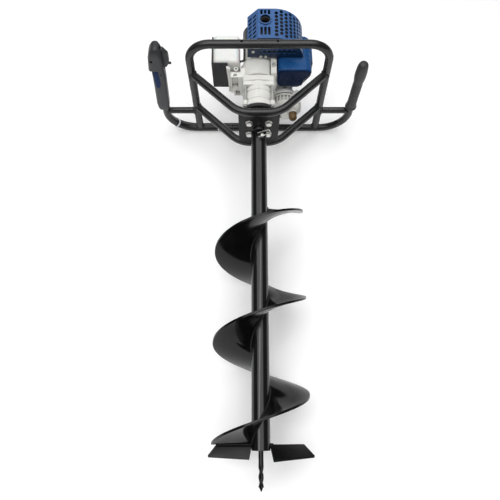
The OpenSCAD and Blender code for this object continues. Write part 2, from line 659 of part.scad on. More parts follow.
// Plan of the guard, a step inside its outline and open at its back
module guard_plan(in = 0, open = 0) difference() {
    union() {
        translate([guard_left + in, guard_front + in])
            square([guard_mid[0] - guard_left - in, guard_back - guard_front - in + open]);
        intersection() {
            translate(guard_mid) circle(r = guard_round - in);
            translate([guard_mid[0] - eps, guard_front])
                square([guard_round, guard_back - guard_front + open]);
        }
    }
    translate([guard_left, guard_front + facet[1]]) rotate(-atan2(facet[1], facet[0]))
        translate([-guard_h, in - guard_h]) square([2 * guard_h, guard_h]);
}
hex_d = 10;
row_p = 10.8;
rows = 7;
cols = 8;
col_a = 9.6;
col_first = 4.3;
vent_p = 12;
vent_d = 9.4;
outlet_rim = 3.5;
slot_w = 5.6;
slot_p = 9;
low_slot = [10, 23];
high_slot = [71, 13];
module hex_hole() along_y() rotate([0, 0, 30]) cylinder(d = hex_d, h = 12, center = true, $fn = 6);
module muffler_guard() color(blue) translate([0, 0, guard_z0]) difference() {
    union() {
        linear_extrude(guard_h) guard_plan();
        translate([outlet[0], guard_front - outlet_rim, outlet[1] - guard_z0])
            along_y() cylinder(r = outlet_r + outlet_rim, h = outlet_rim + 1);
    }
    translate([0, 0, skin_t]) linear_extrude(guard_h - 2 * skin_t) guard_plan(skin_t, skin_t);
    for (p = guard_screws) translate([p[0], p[1], -1]) cylinder(d = screw_d + 2 * seat, h = 6);
    translate([outlet[0], guard_front - 5, outlet[1] - guard_z0])
        along_y() cylinder(r = outlet_r + 0.6, h = 12);
    for (k = [-1, 0, 1], z = [low_slot, high_slot])
        translate([outlet[0] + slot_p * k - slot_w / 2, guard_front - 6, z[0]]) cube([slot_w, 12, z[1]]);
    for (c = [0:cols - 1], r = [0:rows - 1])
        translate([guard_mid[0], guard_mid[1], 10 + row_p * (r + 0.5 * (c % 2))])
            rotate([0, 0, col_first + col_a * c]) translate([0, -guard_round, 0]) hex_hole();
    for (c = [0:1], r = [0:5]) translate([-15, -101.5, 0]) rotate([0, 0, -46])
        translate([-9 + 15 * c, 0, 12 + 12 * r]) rotate([0, -24, 0]) cube([11, 14, 6], center = true);
    for (c = [0:7], r = [0:3]) let (at = [8 + vent_p * (c + 0.5 * (r % 2)), guard_front + vent_p * (r + 1)])
        if (norm(at - guard_mid) < guard_round - skin_t - vent_d) translate([at[0], at[1], -5])
            cylinder(d = vent_d, h = 12, $fn = 6);
}
shroud_left = 46;
shroud_h = 73;
shroud_pts = [[shroud_left, -47], [120, -47], [136, -31], [136, 22], [110, 66], [shroud_left, 66]];
skirt_h = 38;
skirt_left = shroud_left + 1.5;
skirt_pts = [[skirt_left, -47], [120, -47], [135, -34], [117, -9], [112, 17], [skirt_left, 17]];
module shroud_plan(in = 0) offset(r = -in) offset(r = 6) offset(delta = -6) polygon(shroud_pts);
module skirt_plan(in = 0) offset(r = -in) offset(r = 6) offset(delta = -6) polygon(skirt_pts);
module engine_shroud() color(blue) translate([0, 0, z_deck + seat]) difference() {
    union() {
        linear_extrude(shroud_h) shroud_plan();
        translate([0, 0, -skirt_h]) linear_extrude(skirt_h + eps) skirt_plan();
    }
    translate([0, 0, skin_t - skirt_h]) linear_extrude(skirt_h + 1) skirt_plan(skin_t);
    translate([0, 0, skin_t]) linear_extrude(shroud_h - 2 * skin_t) shroud_plan(skin_t);
    translate([shroud_left - 5, -36, 5]) cube([20, 72, shroud_h - 10]);
    translate([crankcase_r + 18, -50, 27]) cube([28, 20, 26]);
    translate([crankcase_r + 17, 38, -1]) cube([29, 27, 20]);
    for (k = [0:5]) translate([126, -26 + 8 * k, 18]) cube([20, 3, 44]);
}

// Fuel
tank_right = -47;
tank_left = -114;
tank_half = 50;
tank_z = z_case + 28 + 3;
cap_at = [-80, 18];
module tank_plan(in = 0) offset(r = 14 - in) offset(delta = -14)
    translate([tank_left, -tank_half]) square([tank_right - tank_left, 2 * tank_half]);
module fuel_tank() color([0.93, 0.93, 0.90]) translate([0, 0, tank_z]) difference() {
    union() {
        linear_extrude(tank_h) tank_plan();
        translate([cap_at[0], cap_at[1], tank_h - eps]) cylinder(r = 14, h = 8);
    }
    translate([0, 0, 2]) linear_extrude(tank_h - 4) tank_plan(2);
    translate([cap_at[0], cap_at[1], tank_h - 6]) cylinder(r = 11.5, h = 20);
    translate([tank_right - 6, hose_y, hose_low - tank_z]) along_x() cylinder(d = hose_d + 2 * seat, h = 10);
    translate([-62, tank_half - 6, 14]) along_y() cylinder(d = 5 + 2 * seat, h = 10);
}
module fuel_cap() color(black) translate([cap_at[0], cap_at[1], tank_z + tank_h + seat]) difference() {
    union() {
        cylinder(r = 19, h = 15);
        for (k = [0:17]) rotate([0, 0, 20 * k]) translate([18.6, -1.4, 0]) cube([1.6, 2.8, 14]);
    }
    translate([0, 0, -1]) cylinder(r = 14 + 0.4, h = 9.4);
}
guard_sheet = 3;
sheet_half = tank_half - 5;
foot_w = 40;
foot_z = z_case + 28;
module tank_guard() color(black) {
    translate([tank_left - guard_sheet - seat, -sheet_half, foot_z - seat]) {
        cube([foot_w, 2 * sheet_half, guard_sheet]);
        cube([guard_sheet, 2 * sheet_half, tank_h + 6]);
    }
    for (k = [0:5]) translate([tank_left + 2 + 5.6 * k, 3 - sheet_half, foot_z - 1.6])
        cube([2, 2 * sheet_half - 6, 1.7]);
}
hose_d = 5;
hose_r = 8;
hose_y = -30;
hose_x = tank_right + 11;
hose_low = tank_z + 16;
hose_high = z_starter - 8;
hose_end = -sqrt(pow(crankcase_r, 2) - pow(hose_y + hose_d / 2, 2)) - seat;
module fuel_hoses() color(black) {
    translate([tank_right - 4, hose_y, hose_low])
        along_x() cylinder(d = hose_d, h = hose_x - hose_r - tank_right + 4 + lap);
    translate([hose_x - hose_r, hose_y, hose_low + hose_r])
        rotate([90, 0, 0]) rotate([0, 0, -90]) rod_bend(hose_r, 90, hose_d - slim);
    translate([hose_x, hose_y, hose_low + hose_r - lap])
        cylinder(d = hose_d, h = hose_high - hose_low - 2 * hose_r + 2 * lap);
    translate([hose_x + hose_r, hose_y, hose_high - hose_r])
        rotate([90, 0, 0]) rotate([0, 0, 90]) rod_bend(hose_r, 90, hose_d - slim);
    translate([hose_x + hose_r - lap, hose_y, hose_high])
        along_x() cylinder(d = hose_d, h = hose_end - hose_x - hose_r + lap);
    translate([-62, tank_half - 3, tank_z + 14]) along_y() cylinder(d = 5, h = 8);
    translate([-52, tank_half + 5, tank_z + 14]) rotate([0, 0, 90]) rod_bend(10, 90, 5);
    translate([-52, tank_half + 15, tank_z + 14])
        along_x() cylinder(d = 5, h = 52 + carb_x - carb_w / 2 - seat);
}
module intake_manifold() color(alloy) difference() {
    translate([crankcase_r + 19, 40 + 2 * seat, carb_z + carb_h + 2 * seat])
        cube([25, 22, cyl_z + 11 - carb_z - carb_h - 2 * seat]);
    translate([carb_x + 6, 39, cyl_z]) along_y() cylinder(r = 7, h = 12);
    translate([carb_x + 6, bore_y, carb_z]) cylinder(r = bore_r, h = cyl_z - carb_z + 7);
}
module carburettor() color(alloy) difference() {
    union() {
        translate([carb_x - carb_w / 2, 46, carb_z]) cube([carb_w, carb_back - 46, carb_h + seat]);
        translate([carb_x + carb_w / 2 - eps, 60, carb_z + 11]) along_x() cylinder(r = 8, h = 7);
    }
    translate([carb_x + 6, bore_y, carb_z - 1]) cylinder(r = bore_r, h = carb_h + 2);
}
box_at = [70, 68];
box_r = 42;
lid_r = 37.5;
lid_h = 25;
z_lid = carb_z - 2 - lid_h;
box_h = 28;
z_box = z_lid - box_h;
bore_r = 7;
bore_y = 51;
bore_at = [carb_x + 6, bore_y] - box_at;
module air_box_lid() color(alloy) translate([box_at[0], box_at[1], z_lid]) difference() {
    union() {
        cylinder(r = lid_r, h = 9);
        translate([0, 0, 9 - eps]) cylinder(r1 = lid_r - 2, r2 = lid_r - 6, h = lid_h - 9 + eps);
        hull() {
            cylinder(r = 14, h = 8, $fn = 32);
            translate([lid_lug[0], lid_lug[1], 0]) cylinder(r = 6, h = 8, $fn = 32);
        }
        translate([bore_at[0] - 14, bore_at[1] - 5, lid_h - eps]) cube([28, 24, 2 - seat]);
    }
    translate([lid_lug[0], lid_lug[1], -1]) cylinder(r = 2.5 + seat, h = 12);
    translate([0, 0, -1]) cylinder(r = lid_r - 9, h = lid_h - 4);
    translate([bore_at[0], bore_at[1], -1]) cylinder(r = bore_r, h = lid_h + 6);
}
box_chamfer = 8;
module air_box() color(alloy) translate([box_at[0], box_at[1], z_box]) difference() {
    union() {
        cylinder(r1 = box_r - box_chamfer, r2 = box_r, h = box_chamfer + eps);
        translate([0, 0, box_chamfer]) cylinder(r = box_r, h = box_h - box_chamfer - seat);
        for (k = [0:29]) rotate([0, 0, 12 * k]) translate([box_r - 1, -1.2, box_chamfer + 1])
            cube([2.4, 2.4, box_h - box_chamfer - 4]);
        translate([primer_at, 0, -4]) cylinder(r = primer_r + 3, h = 5);
    }
    translate([0, 0, 3]) cylinder(r = box_r - box_chamfer - 3, h = box_h);
    translate([primer_at, 0, -5]) cylinder(r = primer_r + 0.3, h = 12);
    translate([-6, -14, -1]) cylinder(r = 2 + seat, h = 8);
}
module filter_element() color([0.25, 0.25, 0.22]) translate([box_at[0], box_at[1], z_box + 4]) difference() {
    cylinder(r = 28, h = box_h + 8);
    translate([0, 0, -1]) cylinder(r = 19, h = box_h + 12);
}
primer_r = 10.5;
primer_l = 15;
// The bulb stands where the rear cradle tube leaves room for it
cradle_room = (frame_r + 3 + (z_ring - z_box + primer_l) * cos(cradle_a)) / sin(cradle_a);
primer_at = min(box_r / 2, ring_half_w - primer_r - cradle_room - box_at[0]);
module primer_bulb() color([0.62, 0.42, 0.18])
    translate([box_at[0] + primer_at, box_at[1], z_box - primer_l]) {
        cylinder(r = primer_r, h = primer_l);
        intersection() {
            sphere(r = primer_r);
            translate([0, 0, -2 * primer_r]) cylinder(r = primer_r + 1, h = 2 * primer_r + eps);
        }
    }
module choke_lever() color(steel) translate([box_at[0] - 6, box_at[1] - 14, z_box]) {
    translate([0, 0, -2.5]) cylinder(r = 2, h = 6);
    translate([0, 0, -2.5]) linear_extrude(2.2) hull() {
        circle(r = 5, $fn = 32);
        translate([-4, 30]) circle(r = 4, $fn = 32);
    }
    translate([-4, 30, -9]) cylinder(r = 3.4, h = 7);
    translate([0, 0, -5]) cylinder(r = 4, h = 3);
}

// Screws of the thin covers: handle shells, guard, fan case and air box lid
screw_d = 4;
guard_screws = [[-14, -72], [5, -56], [17, -56]];
case_screw = [37, -45, z_case + 22];
lid_lug = [30, -39];
module cover_screws() color(steel) {
    shell_screw_spots() translate([0, 0, 3]) cap_screw(screw_d, 17);
    for (p = guard_screws) translate([p[0], p[1], guard_z0 - seat]) cap_screw(screw_d, 7);
    translate(case_screw) rotate([-90, 0, 0]) translate([0, 0, -seat]) cap_screw(5, 10);
    translate([box_at[0] + lid_lug[0], box_at[1] + lid_lug[1], z_lid - seat]) hex_bolt(8, 3.5, 5, 12);
}

// Recoil starter
rope_y = 30;
rope_d = 3.6;
z_rope = z_starter + 22;
module starter_housing() color(black) translate([0, 0, z_starter + seat]) {
    translate([0, 0, 13]) cylinder(r = post_r, h = starter_h - 15);
    starter_shell();
}
module starter_shell() difference() {
    union() {
        cylinder(r = starter_r, h = starter_h - 5);
        translate([0, 0, starter_h - 5 - eps]) cylinder(r1 = starter_r, r2 = starter_r - 6, h = 5);
        translate([starter_r - 16, rope_y - 8, 12]) cube([18, 16, 20]);
    }
    translate([0, 0, 3]) cylinder(r = starter_r - 3, h = starter_h - 9);
    translate([0, 0, -1]) cylinder(r = 20, h = 6);
    for (k = [0:17]) rotate([0, 0, 20 * k]) translate([16, -1.5, starter_h - 8]) cube([14, 3, 12]);
    translate([0, rope_y, z_rope - z_starter]) along_x() cylinder(d = rope_d + 1, h = 80);
}
post_r = 5;

module starter_pulley() color([0.15, 0.15, 0.16]) translate([0, 0, z_starter + 16]) difference() {
    union() {
        cylinder(r = 34, h = 3);
        cylinder(r = 28, h = 12);
        translate([0, 0, 9]) cylinder(r = 34, h = 3);
        translate([0, 0, 11]) cylinder(r = 9, h = 10);
    }
    translate([0, 0, -1]) cylinder(r = post_r + run_gap, h = 30);
}
module starter_grip() color(black) translate([starter_r + 4, rope_y, z_rope]) difference() {
    union() {
        along_x() cylinder(r1 = 6, r2 = 9, h = 12);
        translate([14, -21, 0]) along_y() cylinder(r = 8, h = 42);
        for (s = [-21, 21]) translate([14, s, 0]) sphere(r = 8);
    }
    translate([-1, 0, 0]) along_x() cylinder(d = rope_d + 2 * seat, h = 14);
}
module starter_rope() color([0.2, 0.2, 0.2]) translate([2, rope_y, z_rope])
    along_x() cylinder(d = rope_d, h = starter_r + 12);

// Drilling bit
drive_a = -74;
socket_len = 90;
module bit_tube() color(black) difference() {
    translate([0, 0, pilot_len]) cylinder(r = tube_r, h = bit_len - pilot_len);
    translate([0, 0, pilot_len + 8]) cylinder(r = tube_r - 3, h = bit_len - pilot_len - 8 - socket_len);
    translate([0, 0, bit_len - socket_len - 1]) cylinder(r = shaft_r + seat, h = socket_len + 2);
    translate([0, 0, pin_hole_z]) rotate([0, 0, drive_a]) translate([-40, 0, 0])
        along_x() cylinder(d = drive_d + 2 * seat, h = 80);
}
turn_steps = 40;
hug = (tube_r + seat) / cos(180 / turn_steps);
// Helical plate from angle a0 and level z0 over a number of turns
module helix(z0, a0, turns) {
    n = round(turns * turn_steps);
    pts = [for (k = [0:n]) let (a = a0 + 360 * turns * k / n, z = z0 + flight_pitch * turns * k / n)
        each [for (q = [[hug, 0], [flight_r, 0], [flight_r, flight_t], [hug, flight_t]])
            [q[0] * cos(a), q[0] * sin(a), z + q[1] - flight_t / 2]]];
    faces = concat([[3, 2, 1, 0]],
        [for (k = [0:n - 1], e = [0:3]) [4 * k + e, 4 * k + (e + 1) % 4, 4 * k + 4 + (e + 1) % 4]],
        [for (k = [0:n - 1], e = [0:3]) [4 * k + e, 4 * k + 4 + (e + 1) % 4, 4 * k + 4 + e]],
        [[4 * n, 4 * n + 1, 4 * n + 2, 4 * n + 3]]);
    polyhedron(pts, faces);
}
module bit_flight() color(black) helix(flight_z0, flight_a0, flight_turns);
blade_t = 5;
blade_a = 32;
blade_in = tube_r + seat;
blade_tip = 14;
blade_deep = 50;
blade_w = 38;
blade_pts = [[blade_in, 0], [blade_in, -6], [blade_tip, -blade_deep], [flight_r, -blade_w], [flight_r - 10, 0]];
module cutting_blades() color(black) for (s = [0, 180]) rotate([0, 0, flight_a0 + s])
    translate([0, 0, flight_z0 - flight_t / 2 - seat]) rotate([blade_a, 0, 0])
        translate([0, 0, -blade_t]) linear_extrude(blade_t) polygon(blade_pts);
module pilot_screw() color(black) {
    rod_r = 5;
    twist_l = 46;
    point_l = 7;
    bar_r = 3.4;
    translate([0, 0, twist_l - eps]) cylinder(r = rod_r, h = pilot_len - twist_l - seat + eps);
    translate([0, 0, point_l]) linear_extrude(twist_l - point_l, twist = -380, slices = 30)
        for (s = [0, 180]) rotate(s) translate([1.8, 0]) circle(r = bar_r, $fn = 12);
    cylinder(r1 = 0.8, r2 = bar_r + 0.6, h = point_l + eps);
}
wire_d = 2.6;
module drive_pin() color(steel) translate([0, 0, pin_hole_z]) rotate([0, 0, drive_a]) {
    clip_x = tube_r + 7;
    clip_a = 28;
    loop_r = 5;
    difference() {
        union() {
            translate([-tube_r - 1, 0, 0]) along_x() cylinder(d = drive_d, h = tube_d + 12);
            translate([-tube_r - 4, 0, 0]) along_x() cylinder(d = drive_d + 5, h = 3 + eps);
        }
        translate([clip_x, 0, 0]) rotate([clip_a, 0, 0]) translate([0, -20, 0])
            along_y() cylinder(d = wire_d + 2 * seat, h = 40);
    }
    translate([clip_x, 0, 0]) rotate([clip_a, 0, 0]) {
        translate([0, -9, 0]) along_y() cylinder(d = wire_d, h = 29);
        translate([0, 20, loop_r]) rotate([0, 90, 0]) rod_bend(loop_r, 180, wire_d);
        translate([0, -6, 2 * loop_r]) along_y() cylinder(d = wire_d, h = 26);
    }
}

lay_down() front_ring();
lay_down() rear_handlebar();
lay_down() cradle_tubes();
lay_down() handle_struts();
lay_down() mount_plate();
lay_down() plate_bolts();
lay_down() right_grip();
lay_down() cable_ties();
lay_down() throttle_cable();
lay_down() handle_lower_shell();
lay_down() handle_upper_shell();
lay_down() cover_screws();
lay_down() grip_insert();
lay_down() throttle_trigger();
lay_down() lockout_lever();
lay_down() stop_switch();
lay_down() gearbox_cover();
lay_down() gearbox_housing();
lay_down() gearbox_bolts();
lay_down() ball_bearings();
lay_down() ring_gear();
lay_down() output_shaft();
lay_down() output_planet_a();
lay_down() output_planet_b();
lay_down() output_planet_c();
lay_down() middle_carrier();
lay_down() input_planet_a();
lay_down() input_planet_b();
lay_down() clutch_drum();
lay_down() fan_case();
lay_down() flywheel();
lay_down() clutch_shoes();
lay_down() crankshaft();
lay_down() crankcase();
lay_down() cylinder_barrel();
lay_down() spark_plug();
lay_down() muffler();
lay_down() muffler_guard();
lay_down() engine_shroud();
lay_down() fuel_tank();
lay_down() fuel_cap();
lay_down() tank_guard();
lay_down() fuel_hoses();
lay_down() intake_manifold();
lay_down() carburettor();
lay_down() air_box();
lay_down() air_box_lid();
lay_down() filter_element();
lay_down() primer_bulb();
lay_down() choke_lever();
lay_down() starter_housing();
lay_down() starter_pulley();
lay_down() starter_grip();
lay_down() starter_rope();
lay_down() bit_tube();
lay_down() bit_flight();
lay_down() cutting_blades();
lay_down() pilot_screw();
lay_down() drive_pin();
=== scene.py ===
import math
import bmesh
import bpy
from mathutils import Matrix, Vector


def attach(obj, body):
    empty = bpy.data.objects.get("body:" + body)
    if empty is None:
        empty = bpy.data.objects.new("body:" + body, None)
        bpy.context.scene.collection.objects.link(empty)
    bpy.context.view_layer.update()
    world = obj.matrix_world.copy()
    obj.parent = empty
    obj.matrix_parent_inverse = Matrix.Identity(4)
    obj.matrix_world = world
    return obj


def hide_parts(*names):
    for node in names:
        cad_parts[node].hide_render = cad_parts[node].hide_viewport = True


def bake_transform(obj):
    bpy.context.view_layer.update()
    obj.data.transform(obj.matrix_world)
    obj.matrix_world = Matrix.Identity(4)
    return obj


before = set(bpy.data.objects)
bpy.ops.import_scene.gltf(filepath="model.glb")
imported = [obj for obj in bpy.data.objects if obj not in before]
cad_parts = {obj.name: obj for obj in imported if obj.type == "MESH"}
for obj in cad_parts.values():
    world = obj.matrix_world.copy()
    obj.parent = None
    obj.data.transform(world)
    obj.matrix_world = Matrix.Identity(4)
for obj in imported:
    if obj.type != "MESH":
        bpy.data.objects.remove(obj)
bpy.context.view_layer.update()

# Tube frame. Bent steel tube, powder coated satin black: a front ring, a rear bar that runs round
# into both handles, two cradle tubes under the gearbox and two short struts.

# Sizes below are in mm on the standing machine; laid puts them, in metres, on the part as it lies.
lie_shift, lie_turn, metres_per_mm = (0, -0.5358234, 0.0738154), math.radians(6.6865631 - 90), 0.001
laid = Matrix.Translation(lie_shift) @ Matrix.Rotation(lie_turn, 4, "X") @ Matrix.Scale(metres_per_mm, 4)


def add_node(tree, kind, setup=None, **inputs):
    made = tree.nodes.new(kind)
    for key, value in (setup or {}).items():
        setattr(made, key, value)
    for key, value in inputs.items():
        socket = made.inputs[int(key[1:])] if key[1:].isdigit() else made.inputs[key.replace("_", " ")]
        if isinstance(value, bpy.types.NodeSocket):
            tree.links.new(value, socket)
        else:
            socket.default_value = value
    return made


def open_group(name, inputs, outputs):
    tree = bpy.data.node_groups.new(name, "ShaderNodeTree")
    for label, value in inputs:
        tree.interface.new_socket(label, in_out="INPUT", socket_type="NodeSocketFloat").default_value = value
    for label, kind in outputs:
        tree.interface.new_socket(label, in_out="OUTPUT", socket_type=kind)
    return tree, tree.nodes.new("NodeGroupInput").outputs, tree.nodes.new("NodeGroupOutput")


# Fine relief of a coat or a casting, and the slow change of tone over a piece
grain, given, result = open_group("surface_grain", [("Scale", 600.0), ("Patch scale", 22.0)],
                                  [("Height", "NodeSocketFloat"), ("Shade", "NodeSocketFloat")])
where = add_node(grain, "ShaderNodeTexCoord").outputs["Object"]
fine = add_node(grain, "ShaderNodeTexNoise", Vector=where, Scale=given["Scale"], Detail=3.0, Roughness=0.55)
slow = add_node(grain, "ShaderNodeTexNoise", Vector=where, Scale=given["Patch scale"], Detail=4.0, Roughness=0.6)
spread = add_node(grain, "ShaderNodeMapRange", Value=slow.outputs[0], From_Min=0.32, From_Max=0.68)
grain.links.new(fine.outputs[0], result.inputs["Height"])
grain.links.new(spread.outputs[0], result.inputs["Shade"])

# Edges that catch the light: a softened normal, and a broken line where the coat has rubbed thin
edges, given, result = open_group("edge_wear", [("Radius", 0.0006), ("Reach", 1.0)],
                                  [("Normal", "NodeSocketVector"), ("Mask", "NodeSocketFloat")])
rounded = add_node(edges, "ShaderNodeBevel", {"samples": 6}, Radius=given["Radius"])
flat = add_node(edges, "ShaderNodeNewGeometry").outputs["Normal"]
along = add_node(edges, "ShaderNodeVectorMath", {"operation": "DOT_PRODUCT"}, i0=rounded.outputs[0], i1=flat)
on_edge = add_node(edges, "ShaderNodeMapRange", Value=along.outputs["Value"], From_Min=0.97, From_Max=0.80)
where = add_node(edges, "ShaderNodeTexCoord").outputs["Object"]
broken = add_node(edges, "ShaderNodeTexNoise", Vector=where, Scale=260.0, Detail=3.0)
rubbed = add_node(edges, "ShaderNodeMapRange", Value=broken.outputs[0], From_Min=0.45, From_Max=0.70)
thin = add_node(edges, "ShaderNodeMath", {"operation": "MULTIPLY"}, i0=on_edge.outputs[0], i1=rubbed.outputs[0])
worn = add_node(edges, "ShaderNodeMath", {"operation": "MULTIPLY", "use_clamp": True}, i0=thin.outputs[0],
                i1=given["Reach"])
edges.links.new(rounded.outputs[0], result.inputs["Normal"])
edges.links.new(worn.outputs[0], result.inputs["Mask"])

# Painted shade in the recesses: an ambient occlusion mask, broken up a little by noise, darkens the colour there
recess_shading, given, result = open_group("painted_recess_shade", [("Reach", 0.008)], [("Mask", "NodeSocketFloat")])
near = add_node(recess_shading, "ShaderNodeAmbientOcclusion", {"samples": 8}, Distance=given["Reach"])
where = add_node(recess_shading, "ShaderNodeTexCoord").outputs["Object"]
cloud = add_node(recess_shading, "ShaderNodeTexNoise", Vector=where, Scale=140.0, Detail=3.0)
uneven = add_node(recess_shading, "ShaderNodeMapRange", Value=cloud.outputs[0], From_Min=0.30, From_Max=0.70,
                 To_Min=0.75, To_Max=1.0)
deep = add_node(recess_shading, "ShaderNodeMapRange", Value=near.outputs["AO"], From_Min=0.72, From_Max=0.25)
recess_darkening = add_node(recess_shading, "ShaderNodeMath", {"operation": "MULTIPLY"}, i0=deep.outputs[0], i1=uneven.outputs[0])
recess_shading.links.new(recess_darkening.outputs[0], result.inputs["Mask"])

# Painted shade: the colour darkens on faces turned towards the bit's tip, the side that is turned to the ground at
# work
tip_side_shade, given, result = open_group("painted_tip_side_shade", [("From", 0.35), ("To", 0.80)], [("Mask", "NodeSocketFloat")])
faced = add_node(tip_side_shade, "ShaderNodeTexCoord").outputs["Normal"]
down = add_node(tip_side_shade, "ShaderNodeVectorMath", {"operation": "DOT_PRODUCT"}, i0=faced, i1=(0.0, -1.0, 0.0))
tip_shaded = add_node(tip_side_shade, "ShaderNodeMapRange", Value=down.outputs["Value"], From_Min=given["From"],
                 From_Max=given["To"])
tip_side_shade.links.new(tip_shaded.outputs[0], result.inputs["Mask"])


def mixed(tree, mask, under, over):
    return add_node(tree, "ShaderNodeMix", {"data_type": "RGBA"}, i0=mask, i6=under, i7=(*over, 1)).outputs[2]


def coat(name, tones, rough, grain_scale, relief, patch=22.0, metal=0.0, worn_tone=None, wear=1.0,
         edge=0.0006, recess_shade_tone=None, recess_shade_reach=0.008, tip_shade_tone=None, **plain):
    made = bpy.data.materials.new(name)
    made.use_nodes = True
    tree = made.node_tree
    shader = tree.nodes["Principled BSDF"]
    texture = add_node(tree, "ShaderNodeGroup", {"node_tree": grain}, Scale=grain_scale, Patch_scale=patch)
    edge_mark = add_node(tree, "ShaderNodeGroup", {"node_tree": edges}, Radius=edge, Reach=wear)
    colour = mixed(tree, texture.outputs["Shade"], (*tones[0], 1), tones[1])
    if worn_tone:
        colour = mixed(tree, edge_mark.outputs["Mask"], colour, worn_tone)
    # Painted shade: faces turned towards the bit's tip are darkened
    if tip_shade_tone:
        tip_shade_mask = add_node(tree, "ShaderNodeGroup", {"node_tree": tip_side_shade})
        colour = mixed(tree, tip_shade_mask.outputs["Mask"], colour, tip_shade_tone)
    # Painted shade in the recesses, from the ambient occlusion mask
    if recess_shade_tone:
        recess_shade_mask = add_node(tree, "ShaderNodeGroup", {"node_tree": recess_shading}, Reach=recess_shade_reach)
        colour = mixed(tree, recess_shade_mask.outputs["Mask"], colour, recess_shade_tone)
    gloss = add_node(tree, "ShaderNodeMapRange", Value=texture.outputs["Shade"], To_Min=rough[0], To_Max=rough[1])
    bump = add_node(tree, "ShaderNodeBump", Strength=relief[0], Distance=relief[1],
                    Height=texture.outputs["Height"], Normal=edge_mark.outputs["Normal"])
    tree.links.new(colour, shader.inputs["Base Color"])
    tree.links.new(gloss.outputs[0], shader.inputs["Roughness"])
    tree.links.new(bump.outputs[0], shader.inputs["Normal"])
    shader.inputs["Metallic"].default_value = metal
    for key, value in plain.items():
        shader.inputs[key.replace("_", " ")].default_value = value
    return made


def forget_normals(mesh):
    stored = mesh.attributes.get("custom_normal")
    if stored:
        mesh.attributes.remove(stored)


def dress(material, *names, soft=0.0, seam_gap=2e-6, round_from=40, crease=28):
    for name in names:
        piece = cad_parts[name]
        piece.data.materials.clear()
        piece.data.materials.append(material)
        forget_normals(piece.data)
        piece.data.polygons.foreach_set("use_smooth", [True] * len(piece.data.polygons))
        piece.modifiers.new("join", "WELD").merge_threshold = seam_gap
        if soft:
            rounded_edge = piece.modifiers.new("rounded_edges", "BEVEL")
            rounded_edge.width = soft
            rounded_edge.segments = 3
            rounded_edge.limit_method = "ANGLE"
            rounded_edge.angle_limit = math.radians(round_from)
        piece.modifiers.new("crisp_edges", "EDGE_SPLIT").split_angle = math.radians(crease)


frame_paint = coat("frame_paint", [(0.0080, 0.0080, 0.0086), (0.0125, 0.0125, 0.0131)], (0.22, 0.32), 1500.0,
                   (0.22, 0.00010), worn_tone=(0.035, 0.035, 0.037), wear=0.5, Specular_IOR_Level=0.5)
dress(frame_paint, "front_ring", "rear_handlebar", "cradle_tubes", "handle_struts")


# Weld beads of the frame. Each tube end is closed onto its neighbour by a rippled fillet of weld
# metal, laid by hand before the coat goes on.
def saddle(start, way, r, other, other_way, other_r, count=40, proud=1.03, sunk=0.6):
    way, other_way = Vector(way).normalized(), Vector(other_way).normalized()
    side = way.cross(other_way)
    loop = []
    for k in range(count):
        a = 2 * math.pi * k / count
        spoke = math.cos(a) * side + math.sin(a) * other_way
        base = Vector(start) + r * spoke - Vector(other)
        base -= base.dot(other_way) * other_way
        half = base.dot(way)
        reach = -half - math.sqrt(max(0.0, half * half - base.length_squared + other_r ** 2))
        loop.append(Vector(start) + r * proud * spoke + (reach - sunk) * way)
    return loop


def open_tree(name, seed, sizes, made):
    tree = bpy.data.node_groups.new(name, "GeometryNodeTree")
    face = tree.interface
    face.new_socket(seed, in_out="INPUT", socket_type="NodeSocketGeometry")
    for label, value in sizes:
        kind = "NodeSocketInt" if isinstance(value, int) else "NodeSocketFloat"
        face.new_socket(label, in_out="INPUT", socket_type=kind).default_value = value
    face.new_socket("Finish", in_out="INPUT", socket_type="NodeSocketMaterial")
    face.new_socket(made, in_out="OUTPUT", socket_type="NodeSocketGeometry")
    return tree, tree.nodes.new("NodeGroupInput").outputs, tree.nodes.new("NodeGroupOutput")


def close_tree(tree, given, result, shape):
    real = add_node(tree, "GeometryNodeRealizeInstances", Geometry=shape.outputs[0])
    done = add_node(tree, "GeometryNodeSetMaterial", Geometry=real.outputs[0], Material=given["Finish"])
    tree.links.new(done.outputs[0], result.inputs[0])
    return tree


def bead_tree():
    tree, given, result = open_tree("weld_bead", "Seam", [("Bead radius", 0.002), ("Ripple pitch", 0.0018)], "Bead")
    path = add_node(tree, "GeometryNodeMeshToCurve", Mesh=given["Seam"])
    spots = add_node(tree, "GeometryNodeResampleCurve", {"mode": "LENGTH"}, Curve=path.outputs[0],
                     Length=given["Ripple pitch"])
    points = add_node(tree, "GeometryNodeCurveToPoints", {"mode": "EVALUATED"}, Curve=spots.outputs[0])
    ball = add_node(tree, "GeometryNodeMeshIcoSphere", Radius=given["Bead radius"], Subdivisions=2)
    drop = add_node(tree, "GeometryNodeSetShadeSmooth", Geometry=ball.outputs[0])
    drops = add_node(tree, "GeometryNodeInstanceOnPoints", Points=points.outputs[0], Instance=drop.outputs[0],
                     Rotation=points.outputs["Rotation"], Scale=(1.0, 1.0, 0.75))
    return close_tree(tree, given, result, drops)


def stand(name, data):
    made = bpy.data.objects.new(name, data)
    bpy.context.scene.collection.objects.link(made)
    return made


def grow_mesh(name, seed_mesh, tree, **sizes):
    seed = stand(name + ".seed", seed_mesh)
    growth = seed.modifiers.new("growth", "NODES")
    growth.node_group = tree
    for label, value in sizes.items():
        growth[tree.interface.items_tree[label.replace("_", " ")].identifier] = value
    bpy.context.view_layer.update()
    mesh = bpy.data.meshes.new_from_object(seed.evaluated_get(bpy.context.evaluated_depsgraph_get()))
    seed.modifiers.remove(growth)
    bpy.data.objects.remove(seed)
    mesh.name = name
    return mesh


def enlist(piece, body, replaced):
    if body:
        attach(piece, body)
    if replaced:
        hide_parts(*replaced)
    return piece


